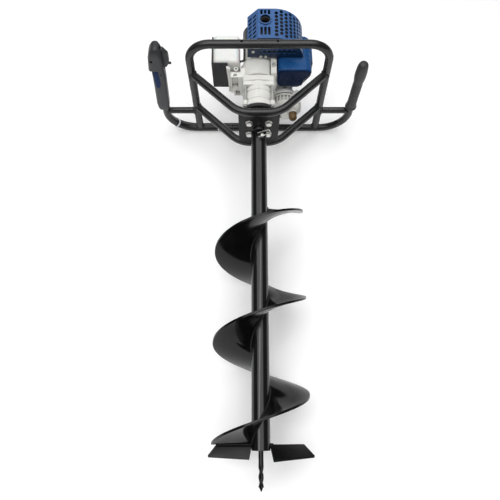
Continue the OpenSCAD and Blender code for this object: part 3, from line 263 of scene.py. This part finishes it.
def grown(name, seed_mesh, tree, body, slot, replaced=(), **sizes):
    return enlist(stand(name, grow_mesh(name, seed_mesh, tree, **sizes)), body, replaced)


def seam_mesh(name, loops):
    mesh = bpy.data.meshes.new(name)
    points, lines = [], []
    for loop, closed in loops:
        first = len(points)
        points += [laid @ Vector(p) for p in loop]
        lines += [(first + k, first + k + 1) for k in range(len(loop) - 1)]
        if closed:
            lines.append((len(points) - 1, first))
    mesh.from_pydata(points, lines, [])
    return mesh


ring_z, tube_r, strut_r = 909.0, 9.75, 8.5
ring_x, strut_x, handle_x, leg_y, strut_y, bar_y = 162, 204, 246, 100, 88, 171
cradle_lean, cradle_run, cradle_y = math.radians(44), 60, (-60, 70)
plate_half, plate_sides, plate_faces = 40, (-50.6, 60.6), (796.4, 801.6)
along_x, along_y, along_z = (1, 0, 0), (0, 1, 0), (0, 0, 1)
loops = []
for s in (-1, 1):
    leg = Vector((math.cos(cradle_lean) * s, 0, math.sin(cradle_lean)))
    joints = [((ring_x * s, leg_y, ring_z), along_y, tube_r, (0, bar_y, ring_z), along_x),
              ((strut_x * s, strut_y, ring_z), (s, 0, 0), strut_r, (handle_x * s, strut_y, ring_z), along_y),
              ((strut_x * s, strut_y, ring_z), (-s, 0, 0), strut_r, (ring_x * s, strut_y, ring_z), along_y)]
    for y in cradle_y:
        top = Vector((ring_x * s, y, ring_z))
        joints.append((top - cradle_run * leg, leg, tube_r, top, along_y))
    loops += [(saddle(start, way, r, other, other_way, tube_r), True) for start, way, r, other, other_way in joints]
for y in plate_sides:
    for z in plate_faces:
        loops.append(([(plate_half * (k / 12 - 1), y, z) for k in range(25)], False))
weld_bead = bead_tree()
grown("frame_welds", seam_mesh("frame_welds", loops), weld_bead, "frame", "frame_paint",
      Bead_radius=0.0021, Ripple_pitch=0.0017, Finish=frame_paint)

# Mounting plate. Flat steel between the two cradle tubes, coated with them; four zinc plated
# hexagon bolts with washers hold the gearbox on it.
zinc_steel = coat("zinc_steel", [(0.62, 0.62, 0.60), (0.78, 0.77, 0.74)], (0.22, 0.38), 900.0, (0.12, 0.0001),
                  patch=90.0, metal=1.0, worn_tone=(0.86, 0.86, 0.85))
plate_paint = coat("plate_paint", [(0.0080, 0.0080, 0.0086), (0.0125, 0.0125, 0.0131)], (0.30, 0.42), 1500.0,
                   (0.22, 0.00010), worn_tone=(0.035, 0.035, 0.037), wear=0.5, Specular_IOR_Level=0.2)
dress(plate_paint, "mount_plate")
dress(zinc_steel, "plate_bolts")

# Right grip. A black rubber sleeve with a swollen, rounded end and a flared foot, moulded in one piece
# with shallow rings under the fingers, and pushed over the right handle tube.
grip_rubber = coat("grip_rubber", [(0.026, 0.026, 0.027), (0.040, 0.040, 0.041)], (0.38, 0.52), 2200.0,
                   (0.35, 0.00025), patch=40.0, Specular_IOR_Level=0.4)


def close_seams(mesh, gap):
    shape = bmesh.new()
    shape.from_mesh(mesh)
    bmesh.ops.remove_doubles(shape, verts=shape.verts, dist=gap)
    bmesh.ops.recalc_face_normals(shape, faces=shape.faces)
    shape.to_mesh(mesh)
    shape.free()


def smooth(mesh, sharp):
    mesh.polygons.foreach_set("use_smooth", [True] * len(mesh.polygons))
    mesh.set_sharp_from_angle(angle=math.radians(sharp))


def settle(name, mesh, material, body, slot, *replaced, sharp=32):
    close_seams(mesh, 1e-6)
    mesh.name = name
    mesh.materials.clear()
    mesh.materials.append(material)
    smooth(mesh, sharp)
    return enlist(stand(name, mesh), body, replaced)


def loft(rings):
    count = len(rings[0])
    points = [laid @ Vector(p) for ring in rings for p in ring]
    faces = [tuple(range(count)), tuple(range(len(points) - count, len(points)))]
    for k in range(len(rings) - 1):
        for i in range(count):
            j = (i + 1) % count
            faces.append((k * count + i, k * count + j, (k + 1) * count + j, (k + 1) * count + i))
    mesh = bpy.data.meshes.new("loft")
    mesh.from_pydata(points, [], faces)
    return mesh


def turned(at, way, profile, count=48):
    way = Vector(way).normalized()
    side = way.orthogonal().normalized()
    other = way.cross(side)
    return loft([[Vector(at) + h * way + r * (math.cos(a) * side + math.sin(a) * other)
                  for a in (2 * math.pi * k / count for k in range(count))] for r, h in profile])


profile = [(3.0, 0.0), (6.4, 0.6), (9.4, 2.2), (11.2, 5.0), (12.3, 9.0), (13.1, 15.0), (13.9, 24.0), (14.4, 33.0),
           (14.4, 42.0), (14.0, 50.0), (13.2, 57.0), (12.3, 63.0), (11.9, 67.0)]
for k in range(7):
    h = 74.0 + 11 * k
    profile += [(12.2, h), (11.5, h + 0.6), (11.5, h + 2.4), (12.2, h + 3.0)]
profile += [(12.6, 152.0), (13.0, 157.0), (13.4, 160.0), (13.9, 162.2), (14.8, 163.2), (15.0, 164.5), (15.0, 167.6),
            (14.4, 168.8), (10.2, 169.0)]
grip_end = -97
settle("right_grip_sleeve", turned((handle_x, grip_end, ring_z), along_y, profile), grip_rubber, "frame",
       "grip_rubber", "right_grip")

# Throttle handle. Two moulded nylon shells screwed together round the left tube, with a blue
# soft insert, a sprung trigger, a lock-out lever and a red stop switch.
black_plastic = coat("black_plastic", [(0.020, 0.021, 0.024), (0.032, 0.033, 0.036)], (0.40, 0.54), 2600.0,
                     (0.30, 0.0002), worn_tone=(0.06, 0.06, 0.065), wear=0.5, Specular_IOR_Level=0.4)
handle_nylon = coat("handle_nylon", [(0.024, 0.025, 0.028), (0.036, 0.037, 0.041)], (0.32, 0.46), 2600.0,
                    (0.30, 0.0002), worn_tone=(0.09, 0.09, 0.095), wear=0.5, Specular_IOR_Level=0.4)
# The shroud's faces turned towards the bit's tip take a darker blue as painted shade
blue_plastic = coat("blue_plastic", [(0.010, 0.062, 0.190), (0.015, 0.080, 0.235)], (0.20, 0.32), 2400.0,
                    (0.14, 0.00012), worn_tone=(0.05, 0.14, 0.34), wear=0.7, edge=0.0009,
                    tip_shade_tone=(0.0030, 0.013, 0.046), Specular_IOR_Level=0.12)
soft_blue = coat("soft_blue", [(0.005, 0.022, 0.078), (0.008, 0.031, 0.100)], (0.45, 0.60), 2400.0, (0.30, 0.0002),
                 Specular_IOR_Level=0.15)
red_plastic = coat("red_plastic", [(0.42, 0.020, 0.016), (0.52, 0.030, 0.022)], (0.32, 0.44), 2400.0,
                   (0.16, 0.00015))


def carve(mesh, other, operation):
    holders = []
    for part in (mesh, other):
        holders.append(stand("carving", part))
        forget_normals(part)
        close_seams(part, 2e-6)
    step = holders[0].modifiers.new("carve", "BOOLEAN")
    step.operation = operation
    step.solver = "EXACT"
    step.object = holders[1]
    bpy.context.view_layer.update()
    done = bpy.data.meshes.new_from_object(holders[0].evaluated_get(bpy.context.evaluated_depsgraph_get()))
    for holder in holders:
        bpy.data.objects.remove(holder)
    return done


def shell_ring(y, x0, x1, low, high, r, steps=7):
    corners = ((x1 - r, high - r, 0), (x0 + r, high - r, 90), (x0 + r, low + r, 180), (x1 - r, low + r, 270))
    ring = []
    for cx, cz, first in corners:
        for k in range(steps):
            a = math.radians(first + 90 * k / (steps - 1))
            ring.append((-handle_x + cx + r * math.cos(a), y, ring_z + cz + r * math.sin(a)))
    return ring


grip_form = [(70.2, -13, 9, 10.5, 6), (68, -15, 11, 13, 7), (62, -16.6, 12.6, 14.3, 8), (44, -17.6, 14.6, 14.3, 8.5),
             (10, -14.9, 17.0, 14.3, 8.5), (-24, -12.4, 19.4, 14.3, 8.5), (-58, -10.1, 22.1, 14.3, 8.5),
             (-96.2, -8.1, 22.1, 14.3, 8.5)]
head_form = [(-91.8, -13.1, 22.1, 20.3, 7), (-112, -10.6, 22.7, 20.3, 8), (-130, -8.1, 23.6, 20.3, 8.5),
             (-140, -5.4, 24.1, 19.6, 9), (-146, -3.1, 23.1, 18.4, 9), (-151, 0.2, 20.8, 16.4, 8.5),
             (-154, 2.9, 18.8, 14.4, 7), (-156, 6.4, 15.8, 12.0, 4.5), (-157.1, 8.6, 12.6, 9.6, 1.9)]
open_side, upper_face = 30.0, 14.3
for node, lower in (("handle_lower_shell", True), ("handle_upper_shell", False)):
    halves = []
    for form in (grip_form, head_form):
        rings = [shell_ring(y, x0, x1, -depth if lower else -open_side,
                            open_side if lower else min(depth, upper_face), r) for y, x0, x1, depth, r in form]
        halves.append(carve(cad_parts[node].data.copy(), loft(rings), "INTERSECT"))
    joined = bmesh.new()
    for half in halves:
        joined.from_mesh(half)
    shell = bpy.data.meshes.new(node)
    joined.to_mesh(shell)
    joined.free()
    settle(node.replace("handle", "throttle") + "_form", shell, handle_nylon, "frame", "black_plastic", node,
           sharp=38)
dress(black_plastic, "throttle_trigger", "lockout_lever", soft=0.0012)
dress(soft_blue, "grip_insert", soft=0.0006)
dress(red_plastic, "stop_switch")
black_oxide = coat("black_oxide", [(0.020, 0.020, 0.022), (0.034, 0.034, 0.036)], (0.35, 0.5), 900.0, (0.1, 0.0001))
dress(zinc_steel, "cover_screws")
screws, handle_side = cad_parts["cover_screws"].data, -0.2
screws.materials.append(black_oxide)
screws.polygons.foreach_set("material_index", [int(face.center.x < handle_side) for face in screws.polygons])

# Throttle cable. A steel wire in a black rubber sheath from the handle to the carburettor, held along
# the rear bar by two nylon straps, pulled tight and cut off.
tie_nylon = coat("tie_nylon", [(0.74, 0.73, 0.69), (0.82, 0.81, 0.78)], (0.35, 0.45), 900.0, (0.1, 0.0001),
                 Subsurface_Weight=0.15)
hose_rubber = coat("hose_rubber", [(0.014, 0.014, 0.014), (0.022, 0.022, 0.022)], (0.45, 0.6), 1800.0,
                   (0.2, 0.0002))
dress(hose_rubber, "throttle_cable")
dress(tie_nylon, "cable_ties")

# Gearbox. Die cast aluminium barrel with a black cover below, long bolts through to the fan case;
# inside run two planetary stages of case hardened steel.
# The cast alloy is darkened in its recesses as painted shade
cast_alloy = coat("cast_alloy", [(0.74, 0.738, 0.695), (0.84, 0.838, 0.795)], (0.34, 0.48), 1300.0,
                  (0.35, 0.0003), patch=30.0, metal=0.08, worn_tone=(0.92, 0.92, 0.89), edge=0.0006,
                  recess_shade_tone=(0.07, 0.068, 0.06), recess_shade_reach=0.007)
black_casting = coat("black_casting", [(0.014, 0.014, 0.015), (0.024, 0.024, 0.025)], (0.40, 0.55), 1200.0,
                     (0.4, 0.0003), worn_tone=(0.09, 0.09, 0.09))
gear_steel = coat("gear_steel", [(0.44, 0.44, 0.45), (0.56, 0.56, 0.57)], (0.24, 0.36), 1600.0, (0.1, 0.0001),
                  patch=60.0, metal=1.0, worn_tone=(0.72, 0.72, 0.72))
dress(black_casting, "gearbox_cover")
dress(cast_alloy, "gearbox_housing")
dull_zinc = coat("dull_zinc", [(0.40, 0.40, 0.385), (0.52, 0.52, 0.50)], (0.42, 0.58), 900.0, (0.2, 0.0002),
                 patch=90.0, metal=0.4)
dress(dull_zinc, "gearbox_bolts")
dress(gear_steel, "ball_bearings", "ring_gear", "output_shaft", "output_planet_a", "output_planet_b",
      "output_planet_c", "middle_carrier", "input_planet_a", "input_planet_b", "clutch_drum")


# Fan case and crank. Silver die castings; at its side the case has a bracket with a screw boss for the
# tank. The flywheel and the clutch shoes turn on the steel crankshaft inside.
def block(low, high):
    return loft([[(low[0], low[1], z), (high[0], low[1], z), (high[0], high[1], z), (low[0], high[1], z)]
                 for z in (low[2], high[2])])


def notched(mesh, *cuts):
    for low, high in cuts:
        mesh = carve(mesh, block(low, high), "DIFFERENCE")
    return mesh


boss_x, boss_z = -56.5, 944
case = notched(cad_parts["fan_case"].data.copy(), ((-70.5, -33, 937.5), (-45, -17, 951)),
               ((-63, -33, 926), (-54, -20, 933)), ((-73, 23, 934), (-64, 33, 952)))
boss = turned((boss_x, -35, boss_z), along_y, [(4.9, 0.0), (5.8, 0.9), (5.8, 17.5), (6.6, 18.4), (6.6, 20.0)])
case = carve(case, boss, "UNION")
bolt_hole = turned((boss_x, -36, boss_z), along_y, [(3.2, 0.0), (2.6, 1.8), (2.6, 13.0)])
settle("fan_case_form", carve(case, bolt_hole, "DIFFERENCE"), cast_alloy, "frame", "cast_alloy", "fan_case", sharp=28)
dress(cast_alloy, "crankcase", "flywheel")
dress(gear_steel, "clutch_shoes", "crankshaft")

# Cylinder, spark plug and muffler. A finned alloy casting with a ceramic plug, and a welded steel box
# for the exhaust, bolted to it; a perforated blue moulding is screwed on over the muffler as a guard.
plug_ceramic = coat("plug_ceramic", [(0.80, 0.79, 0.76), (0.86, 0.85, 0.83)], (0.12, 0.2), 700.0, (0.05, 0.0001))
muffler_steel = coat("muffler_steel", [(0.020, 0.019, 0.018), (0.045, 0.040, 0.036)], (0.5, 0.7), 1100.0,
                     (0.3, 0.0003), patch=45.0, Specular_IOR_Level=0.3)
dress(cast_alloy, "cylinder_barrel")
dress(plug_ceramic, "spark_plug")
dress(muffler_steel, "muffler")
# The guard's faces turned towards the bit's tip take a darker blue as painted shade
guard_blue = coat("guard_blue", [(0.042, 0.112, 0.280), (0.053, 0.132, 0.330)], (0.24, 0.36), 2400.0, (0.14, 0.00012),
                  worn_tone=(0.09, 0.19, 0.42), wear=0.7, edge=0.0009, tip_shade_tone=(0.006, 0.022, 0.060),
                  Specular_IOR_Level=0.35)
dress(guard_blue, "muffler_guard")


# Engine shroud. One glossy blue moulding over the cylinder, with wide corner radii and a shallow groove
# round it; a rounded skirt hangs from it beside the fan case, and it is open towards the crankcase.
def plan_ring(corners, z, big, inset, steps=8):
    count = len(corners)
    normals = []
    for k in range(count):
        way = Vector(corners[(k + 1) % count]) - Vector(corners[k])
        normals.append(Vector((way.y, -way.x)).normalized())
    ring = []
    for k in range(count):
        before, after = normals[k - 1], normals[k]
        sweep = math.atan2(before.x * after.y - before.y * after.x, before.dot(after))
        out = 1 if sweep > 0 else -1
        heart = Vector(corners[k]) - out * (before + after) * (big / (1 + before.dot(after)))
        first = math.atan2(before.y, before.x)
        for i in range(steps):
            a = first + sweep * i / (steps - 1)
            reach = out * big - inset
            ring.append((heart.x + reach * math.cos(a), heart.y + reach * math.sin(a), z))
    return ring


def stacked(plan, corner_r, levels, fit=0.0):
    return loft([plan_ring(plan, z, corner_r, inset + fit) for z, inset in levels])


hood_plan, hood_r = [(46, -47), (120, -47), (136, -31), (136, 22), (110, 66), (46, 66)], 15.0
skirt_plan, skirt_r = [(47.5, -47), (120, -47), (135, -34), (117, -9), (112, 17), (47.5, 17)], 10.0
hood = [(966.05, 1.6), (966.5, 0.6), (967.4, 0.0), (1008.0, 0.0), (1009.0, 1.0), (1011.0, 1.0), (1012.0, 0.0),
        (1026.0, 0.0), (1031.0, 0.8), (1035.0, 3.0), (1037.6, 6.4), (1038.8, 10.0), (1039.0, 13.5)]
skirt = [(928.05, 7.4), (928.5, 5.2), (929.8, 2.8), (932.0, 1.1), (935.0, 0.2), (938.0, 0.0), (967.6, 0.0)]
hood_inside = [(968.6, 2.6), (1026.0, 2.8), (1033.0, 6.0), (1036.4, 13.0)]
skirt_inside = [(930.6, 7.0), (933.0, 4.0), (938.0, 2.6), (970.0, 2.6)]
openings = [((40, -36, 971), (63, 36, 1034)), ((56, -60, 993), (84, -27, 1019)), ((55, 38, 960), (84, 65, 986))]
louvres = [((126, y, 984), (146, y + 3, 1028)) for y in range(-26, 22, 8)]
skin = carve(stacked(hood_plan, hood_r, hood), stacked(skirt_plan, skirt_r, skirt, fit=0.02), "UNION")
skin = carve(skin, stacked(hood_plan, hood_r, hood_inside), "DIFFERENCE")
skin = carve(skin, stacked(skirt_plan, skirt_r, skirt_inside), "DIFFERENCE")
skin = notched(skin, *openings, *louvres)
settle("engine_shroud_form", skin, blue_plastic, "frame", "blue_plastic", "engine_shroud", sharp=40)

# Fuel tank. Blow moulded white polyethylene with a black screw cap and rubber hoses; a bent black guard
# with pressed beads stands at its side, its foot under the tank.
tank_plastic = coat("tank_plastic", [(0.77, 0.77, 0.74), (0.83, 0.83, 0.80)], (0.30, 0.42), 700.0,
                    (0.15, 0.0003), Subsurface_Weight=0.2)
tank_plan, tank_r = [(-114, -50), (-47, -50), (-47, 50), (-114, 50)], 12.0
tank = [(954.0, 9.0), (954.4, 6.4), (955.6, 4.0), (957.4, 2.2), (960.0, 0.9), (964.0, 0.2), (994.6, 0.0),
        (995.4, -0.8), (996.6, -0.8), (997.4, 0.0), (1028.0, 0.2), (1032.0, 0.9), (1034.6, 2.2), (1036.4, 4.0),
        (1037.6, 6.4), (1038.0, 9.0)]
neck = turned((-80, 18, 1037), along_z, [(15.5, 0.0), (14.4, 1.4), (14.0, 3.0), (14.0, 9.0)])
settle("fuel_tank_form", carve(stacked(tank_plan, tank_r, tank, fit=0.05), neck, "UNION"), tank_plastic, "frame",
       "tank_plastic", "fuel_tank", sharp=40)
dress(black_plastic, "fuel_cap")
sheet_x, sheet_top, sheet_half, sheet_r, foot_z = -117.02, 1040.98, 45.0, 14.0, 951.0
bead_half, bead_deep, bead_wide = sheet_half - 16, 0.9, 7
sheet_low = foot_z - 40
sheet_plan = [(-sheet_half, sheet_low), (sheet_half, sheet_low), (sheet_half, sheet_top), (-sheet_half, sheet_top)]
rim = plan_ring(sheet_plan, 0, sheet_r, 0.0)
outline = loft([[(x, y, z) for y, z, _ in rim] for x in (-130, -60)])
sheet = carve(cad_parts["tank_guard"].data.copy(), outline, "INTERSECT")
sheet = notched(sheet, *[((sheet_x - 1, -bead_half, z), (sheet_x + bead_deep, bead_half, z + bead_wide))
                         for z in (foot_z + 20, foot_z + 40, foot_z + 60)])
settle("tank_guard_form", sheet, black_plastic, "frame", "black_plastic", "tank_guard", sharp=28)
dress(hose_rubber, "fuel_hoses")


# Intake. Die cast carburettor and air box, bolted on through the manifold; the box has ribs round its
# rim, a foam filter and a lid. An amber primer bulb and a plated choke lever serve the cold start.
def groove_tree():
    sizes = [("Count", 30), ("Ring radius", 43.0), ("Depth", 9.0), ("Width", 5.4), ("Height", 15.0)]
    tree, given, result = open_tree("ring_of_grooves", "Start", sizes, "Grooves")
    circle = add_node(tree, "GeometryNodeMeshCircle", Vertices=given["Count"], Radius=given["Ring radius"])
    outward = add_node(tree, "FunctionNodeAlignRotationToVector", {"axis": "X"},
                       Vector=add_node(tree, "GeometryNodeInputPosition").outputs[0])
    size = add_node(tree, "ShaderNodeCombineXYZ", X=given["Depth"], Y=given["Width"], Z=given["Height"])
    groove = add_node(tree, "GeometryNodeMeshCube", Size=size.outputs[0])
    grooves = add_node(tree, "GeometryNodeInstanceOnPoints", Points=circle.outputs[0], Instance=groove.outputs[0],
                       Rotation=outward.outputs[0])
    return close_tree(tree, given, result, grooves)


filter_foam = coat("filter_foam", [(0.05, 0.05, 0.045), (0.11, 0.11, 0.10)], (0.8, 0.95), 900.0, (1.0, 0.001))
amber_plastic = coat("amber_plastic", [(0.14, 0.078, 0.026), (0.21, 0.13, 0.055)], (0.16, 0.26), 900.0,
                     (0.1, 0.0001), patch=60.0, Transmission_Weight=0.35)
dress(cast_alloy, "intake_manifold", "carburettor")
box_x, box_y, box_z, lid_z, half_rib = 70.0, 68.0, 888.0, 916.0, math.radians(6)


def lid_turn(height, rim_profile):
    return turned((box_x, box_y, lid_z + height), along_z, rim_profile, count=96)


groove_mesh = grow_mesh("box_grooves", bpy.data.meshes.new("box_grooves"), groove_tree(), Finish=cast_alloy)
groove_place = Matrix.Translation((box_x, box_y, box_z + 17.0))
groove_mesh.transform(laid @ groove_place @ Matrix.Rotation(half_rib, 4, "Z"))
settle("air_box_form", carve(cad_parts["air_box"].data.copy(), groove_mesh, "DIFFERENCE"), cast_alloy, "frame",
       "cast_alloy", "air_box", sharp=28)
brim = lid_turn(8.5, [(30.0, 0.0), (37.6, 0.0), (38.8, 0.8), (39.2, 2.0), (39.2, 6.4), (38.6, 7.8), (37.0, 8.6),
                      (30.0, 8.8)])
lid = carve(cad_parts["air_box_lid"].data.copy(), brim, "UNION")
lid = carve(lid, lid_turn(-1, [(28.5, 0.0), (28.5, 22.0)]), "DIFFERENCE")
rim_gap = carve(lid_turn(5.6, [(42.0, 0.0), (42.0, 2.4)]), lid_turn(5, [(34.6, 0.0), (34.6, 4.0)]), "DIFFERENCE")
settle("air_box_lid_form", carve(lid, rim_gap, "DIFFERENCE"), cast_alloy, "frame", "cast_alloy", "air_box_lid",
       sharp=28)
dress(filter_foam, "filter_element")
dress(amber_plastic, "primer_bulb")
dress(zinc_steel, "choke_lever")

# Recoil starter. Moulded housing on top of the engine with a sprung pulley and a grip; the pull cord is
# laid from three nylon strands and runs out of the housing with the grip.
rope_nylon = coat("rope_nylon", [(0.10, 0.10, 0.10), (0.20, 0.20, 0.19)], (0.6, 0.75), 1500.0, (0.6, 0.0004))
dress(black_plastic, "starter_housing", "starter_pulley", "starter_grip")
strand_lay, cord_r, cord_y, cord_z = 9.0, 1.8, 30.0, 1062.0
cord_start, cord_step, cord_steps, cord_sides = 2, 0.5, 105, 24
rings = []
for k in range(cord_steps):
    x = cord_start + cord_step * k
    ring = []
    for i in range(cord_sides):
        a = 2 * math.pi * i / cord_sides
        bulge = abs(math.cos(1.5 * (a - 2 * math.pi * x / strand_lay)))
        r = cord_r * (0.76 + 0.24 * bulge)
        ring.append((x, cord_y + r * math.cos(a), cord_z + r * math.sin(a)))
    rings.append(ring)
cord = settle("starter_cord", loft(rings), rope_nylon, None, "rope_nylon", "starter_rope", sharp=60)
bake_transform(cord)

# Bit. Steel tube with a welded flight, two cutting blades and a twisted pilot, in gloss black
# enamel; a plated pin with a spring clip couples it to the gearbox.
bit_paint = coat("bit_paint", [(0.0030, 0.0030, 0.0034), (0.0050, 0.0050, 0.0056)], (0.10, 0.19), 500.0,
                 (0.08, 0.0002), worn_tone=(0.03, 0.03, 0.03), wear=0.5, Specular_IOR_Level=0.28)
tube_enamel = coat("tube_enamel", [(0.0035, 0.0035, 0.0040), (0.0055, 0.0055, 0.0060)], (0.12, 0.20), 500.0,
                   (0.06, 0.0001), worn_tone=(0.03, 0.03, 0.03), wear=0.5, Specular_IOR_Level=0.5)
dress(tube_enamel, "bit_tube")
dress(bit_paint, "pilot_screw")
blade_paint = coat("blade_paint", [(0.0050, 0.0050, 0.0054), (0.0085, 0.0085, 0.0090)], (0.42, 0.55), 500.0,
                   (0.2, 0.0002), worn_tone=(0.06, 0.06, 0.06), wear=0.6, Specular_IOR_Level=0.12)
dress(blade_paint, "cutting_blades", soft=0.0004)


def flight_tree():
    sizes = [("Inner radius", 18.0), ("Outer radius", 100.0), ("Pitch", 202.0), ("Turns", 2.5), ("Thickness", 5.0),
             ("Start height", 76.0), ("Start angle", 0.0)]
    tree, given, result = open_tree("helical_flight", "Start", sizes, "Flight")

    def worked(kind, a, b):
        return add_node(tree, "ShaderNodeMath", {"operation": kind}, i0=a, i1=b).outputs[0]

    middle = worked("MULTIPLY", worked("ADD", given["Inner radius"], given["Outer radius"]), 0.5)
    width = worked("SUBTRACT", given["Outer radius"], given["Inner radius"])
    climb = worked("MULTIPLY", given["Pitch"], given["Turns"])
    path = add_node(tree, "GeometryNodeCurveSpiral", Resolution=120, Rotations=given["Turns"], Start_Radius=middle,
                    End_Radius=middle, Height=climb, Reverse=True)
    level = add_node(tree, "GeometryNodeSetCurveNormal", {"mode": "Z_UP"}, Curve=path.outputs[0])
    strip = add_node(tree, "GeometryNodeCurvePrimitiveQuadrilateral", Width=width, Height=given["Thickness"])
    eased = add_node(tree, "GeometryNodeFilletCurve", {"mode": "POLY"}, Curve=strip.outputs[0], Count=3, Radius=0.6)
    swept = add_node(tree, "GeometryNodeCurveToMesh", Curve=level.outputs[0], Profile_Curve=eased.outputs[0],
                     Fill_Caps=True)
    turn = add_node(tree, "ShaderNodeCombineXYZ", Z=given["Start angle"])
    lift = add_node(tree, "ShaderNodeCombineXYZ", Z=given["Start height"])
    placed = add_node(tree, "GeometryNodeTransform", Geometry=swept.outputs[0], Translation=lift.outputs[0],
                      Rotation=turn.outputs[0])
    return close_tree(tree, given, result, placed)


flight_z, flight_pitch, flight_turns, flight_start = 76.0, 202.0, 2.5, -166.0
flight = grown("bit_flight_plate", bpy.data.meshes.new("bit_flight_plate"), flight_tree(), "bit", "bit_paint",
               ("bit_flight",), Pitch=flight_pitch, Turns=flight_turns, Start_height=flight_z,
               Start_angle=math.radians(flight_start), Finish=bit_paint)
flight.data.transform(laid)
smooth(flight.data, sharp=40)
seam_r, seam_side, turn_steps, seams = 19.2, 3.6, 80, []
for side in (-1, 1):
    seam = []
    for k in range(int(flight_turns * turn_steps) + 1):
        a = math.radians(flight_start + 360 * k / turn_steps)
        height = flight_z + flight_pitch * k / turn_steps + seam_side * side
        seam.append((seam_r * math.cos(a), seam_r * math.sin(a), height))
    seams.append((seam, False))
for blade_turn, reach in ((-166, 88), (14, 24)):
    a = math.radians(blade_turn)
    out = Vector((math.cos(a), math.sin(a), 0))
    ahead = Vector((out.y, -out.x, 0))
    along_blade = [out * (19 + (reach - 19) * k / 24) + ahead * 0.5 + Vector((0, 0, 73.3)) for k in range(25)]
    down_tube = [out * 19.4 + ahead * (0.6 * k - 0.5) + Vector((0, 0, 73.2 - 0.375 * k)) for k in range(10)]
    seams += [(along_blade, False), (down_tube, False)]
grown("flight_weld", seam_mesh("flight_weld", seams), weld_bead, "bit", "bit_paint", Bead_radius=0.0026,
      Ripple_pitch=0.0024, Finish=bit_paint)
dress(zinc_steel, "drive_pin")

# Studio. A white floor, four broad soft lamps and a pale world, with a camera at the photograph's viewing
# angle. The floor glows a little for the camera and in reflections, so that it stays white.
floor_tone, floor_rough, floor_glow, world_level = 0.86, 0.8, 0.20, 0.13
floor_mesh = bpy.data.meshes.new("floor")
floor_mesh.from_pydata([(-6, -6, 0), (6, -6, 0), (6, 8, 0), (-6, 8, 0)], [], [(0, 1, 2, 3)])
floor = stand("floor", floor_mesh)
pale = bpy.data.materials.new("pale_floor")
pale.use_nodes = True
floor_shader = pale.node_tree.nodes["Principled BSDF"]
floor_shader.inputs["Base Color"].default_value = (floor_tone, floor_tone, floor_tone, 1)
floor_shader.inputs["Roughness"].default_value = floor_rough
floor_shader.inputs["Emission Color"].default_value = (1, 1, 1, 1)
rays = add_node(pale.node_tree, "ShaderNodeLightPath").outputs
mirrored = add_node(pale.node_tree, "ShaderNodeMath", {"operation": "MAXIMUM"}, i0=rays["Is Camera Ray"],
                    i1=rays["Is Glossy Ray"])
seen = add_node(pale.node_tree, "ShaderNodeMath", {"operation": "MAXIMUM"}, i0=mirrored.outputs[0],
                i1=rays["Is Transmission Ray"])
glow = add_node(pale.node_tree, "ShaderNodeMath", {"operation": "MULTIPLY"}, i0=seen.outputs[0], i1=floor_glow)
pale.node_tree.links.new(glow.outputs[0], floor_shader.inputs["Emission Strength"])
floor_mesh.materials.append(pale)
for name, place, aim, size, power in (("ceiling", (-0.2, 0.1, 2.7), (-0.2, 0.1, 0), (3.8, 3.8), 82.0),
                                      ("strip", (-0.32, -0.2, 2.4), (-0.1, 0.0, 0), (0.35, 3.0), 11.0),
                                      ("back", (0.0, 3.2, 1.2), (0, 0.3, 0.1), (3.6, 1.6), 13.0),
                                      ("front", (0.3, -1.9, 1.9), (0, 0.4, 0.1), (2.6, 1.4), 15.0)):
    lamp = bpy.data.lights.new(name, "AREA")
    lamp.shape = "RECTANGLE"
    lamp.size, lamp.size_y = size
    lamp.energy = power
    holder = stand(name, lamp)
    holder.visible_glossy = name != "front"
    holder.location = place
    holder.rotation_euler = (Vector(aim) - Vector(place)).to_track_quat("-Z", "Y").to_euler()
world = bpy.data.worlds.new("studio")
bpy.context.scene.world = world
world.use_nodes = True
world.node_tree.nodes["Background"].inputs["Color"].default_value = (1, 1, 1, 1)
world.node_tree.nodes["Background"].inputs["Strength"].default_value = world_level
lens = bpy.data.cameras.new("camera")
lens.lens = 36.0
lens.sensor_width = 36.0
camera = stand("camera", lens)
camera.location = (-0.0215, -0.5506, 1.1363)
camera.rotation_euler = (math.radians(26.0), 0, 0)
bpy.context.scene.camera = camera
bpy.context.scene.view_settings.view_transform = "Standard"
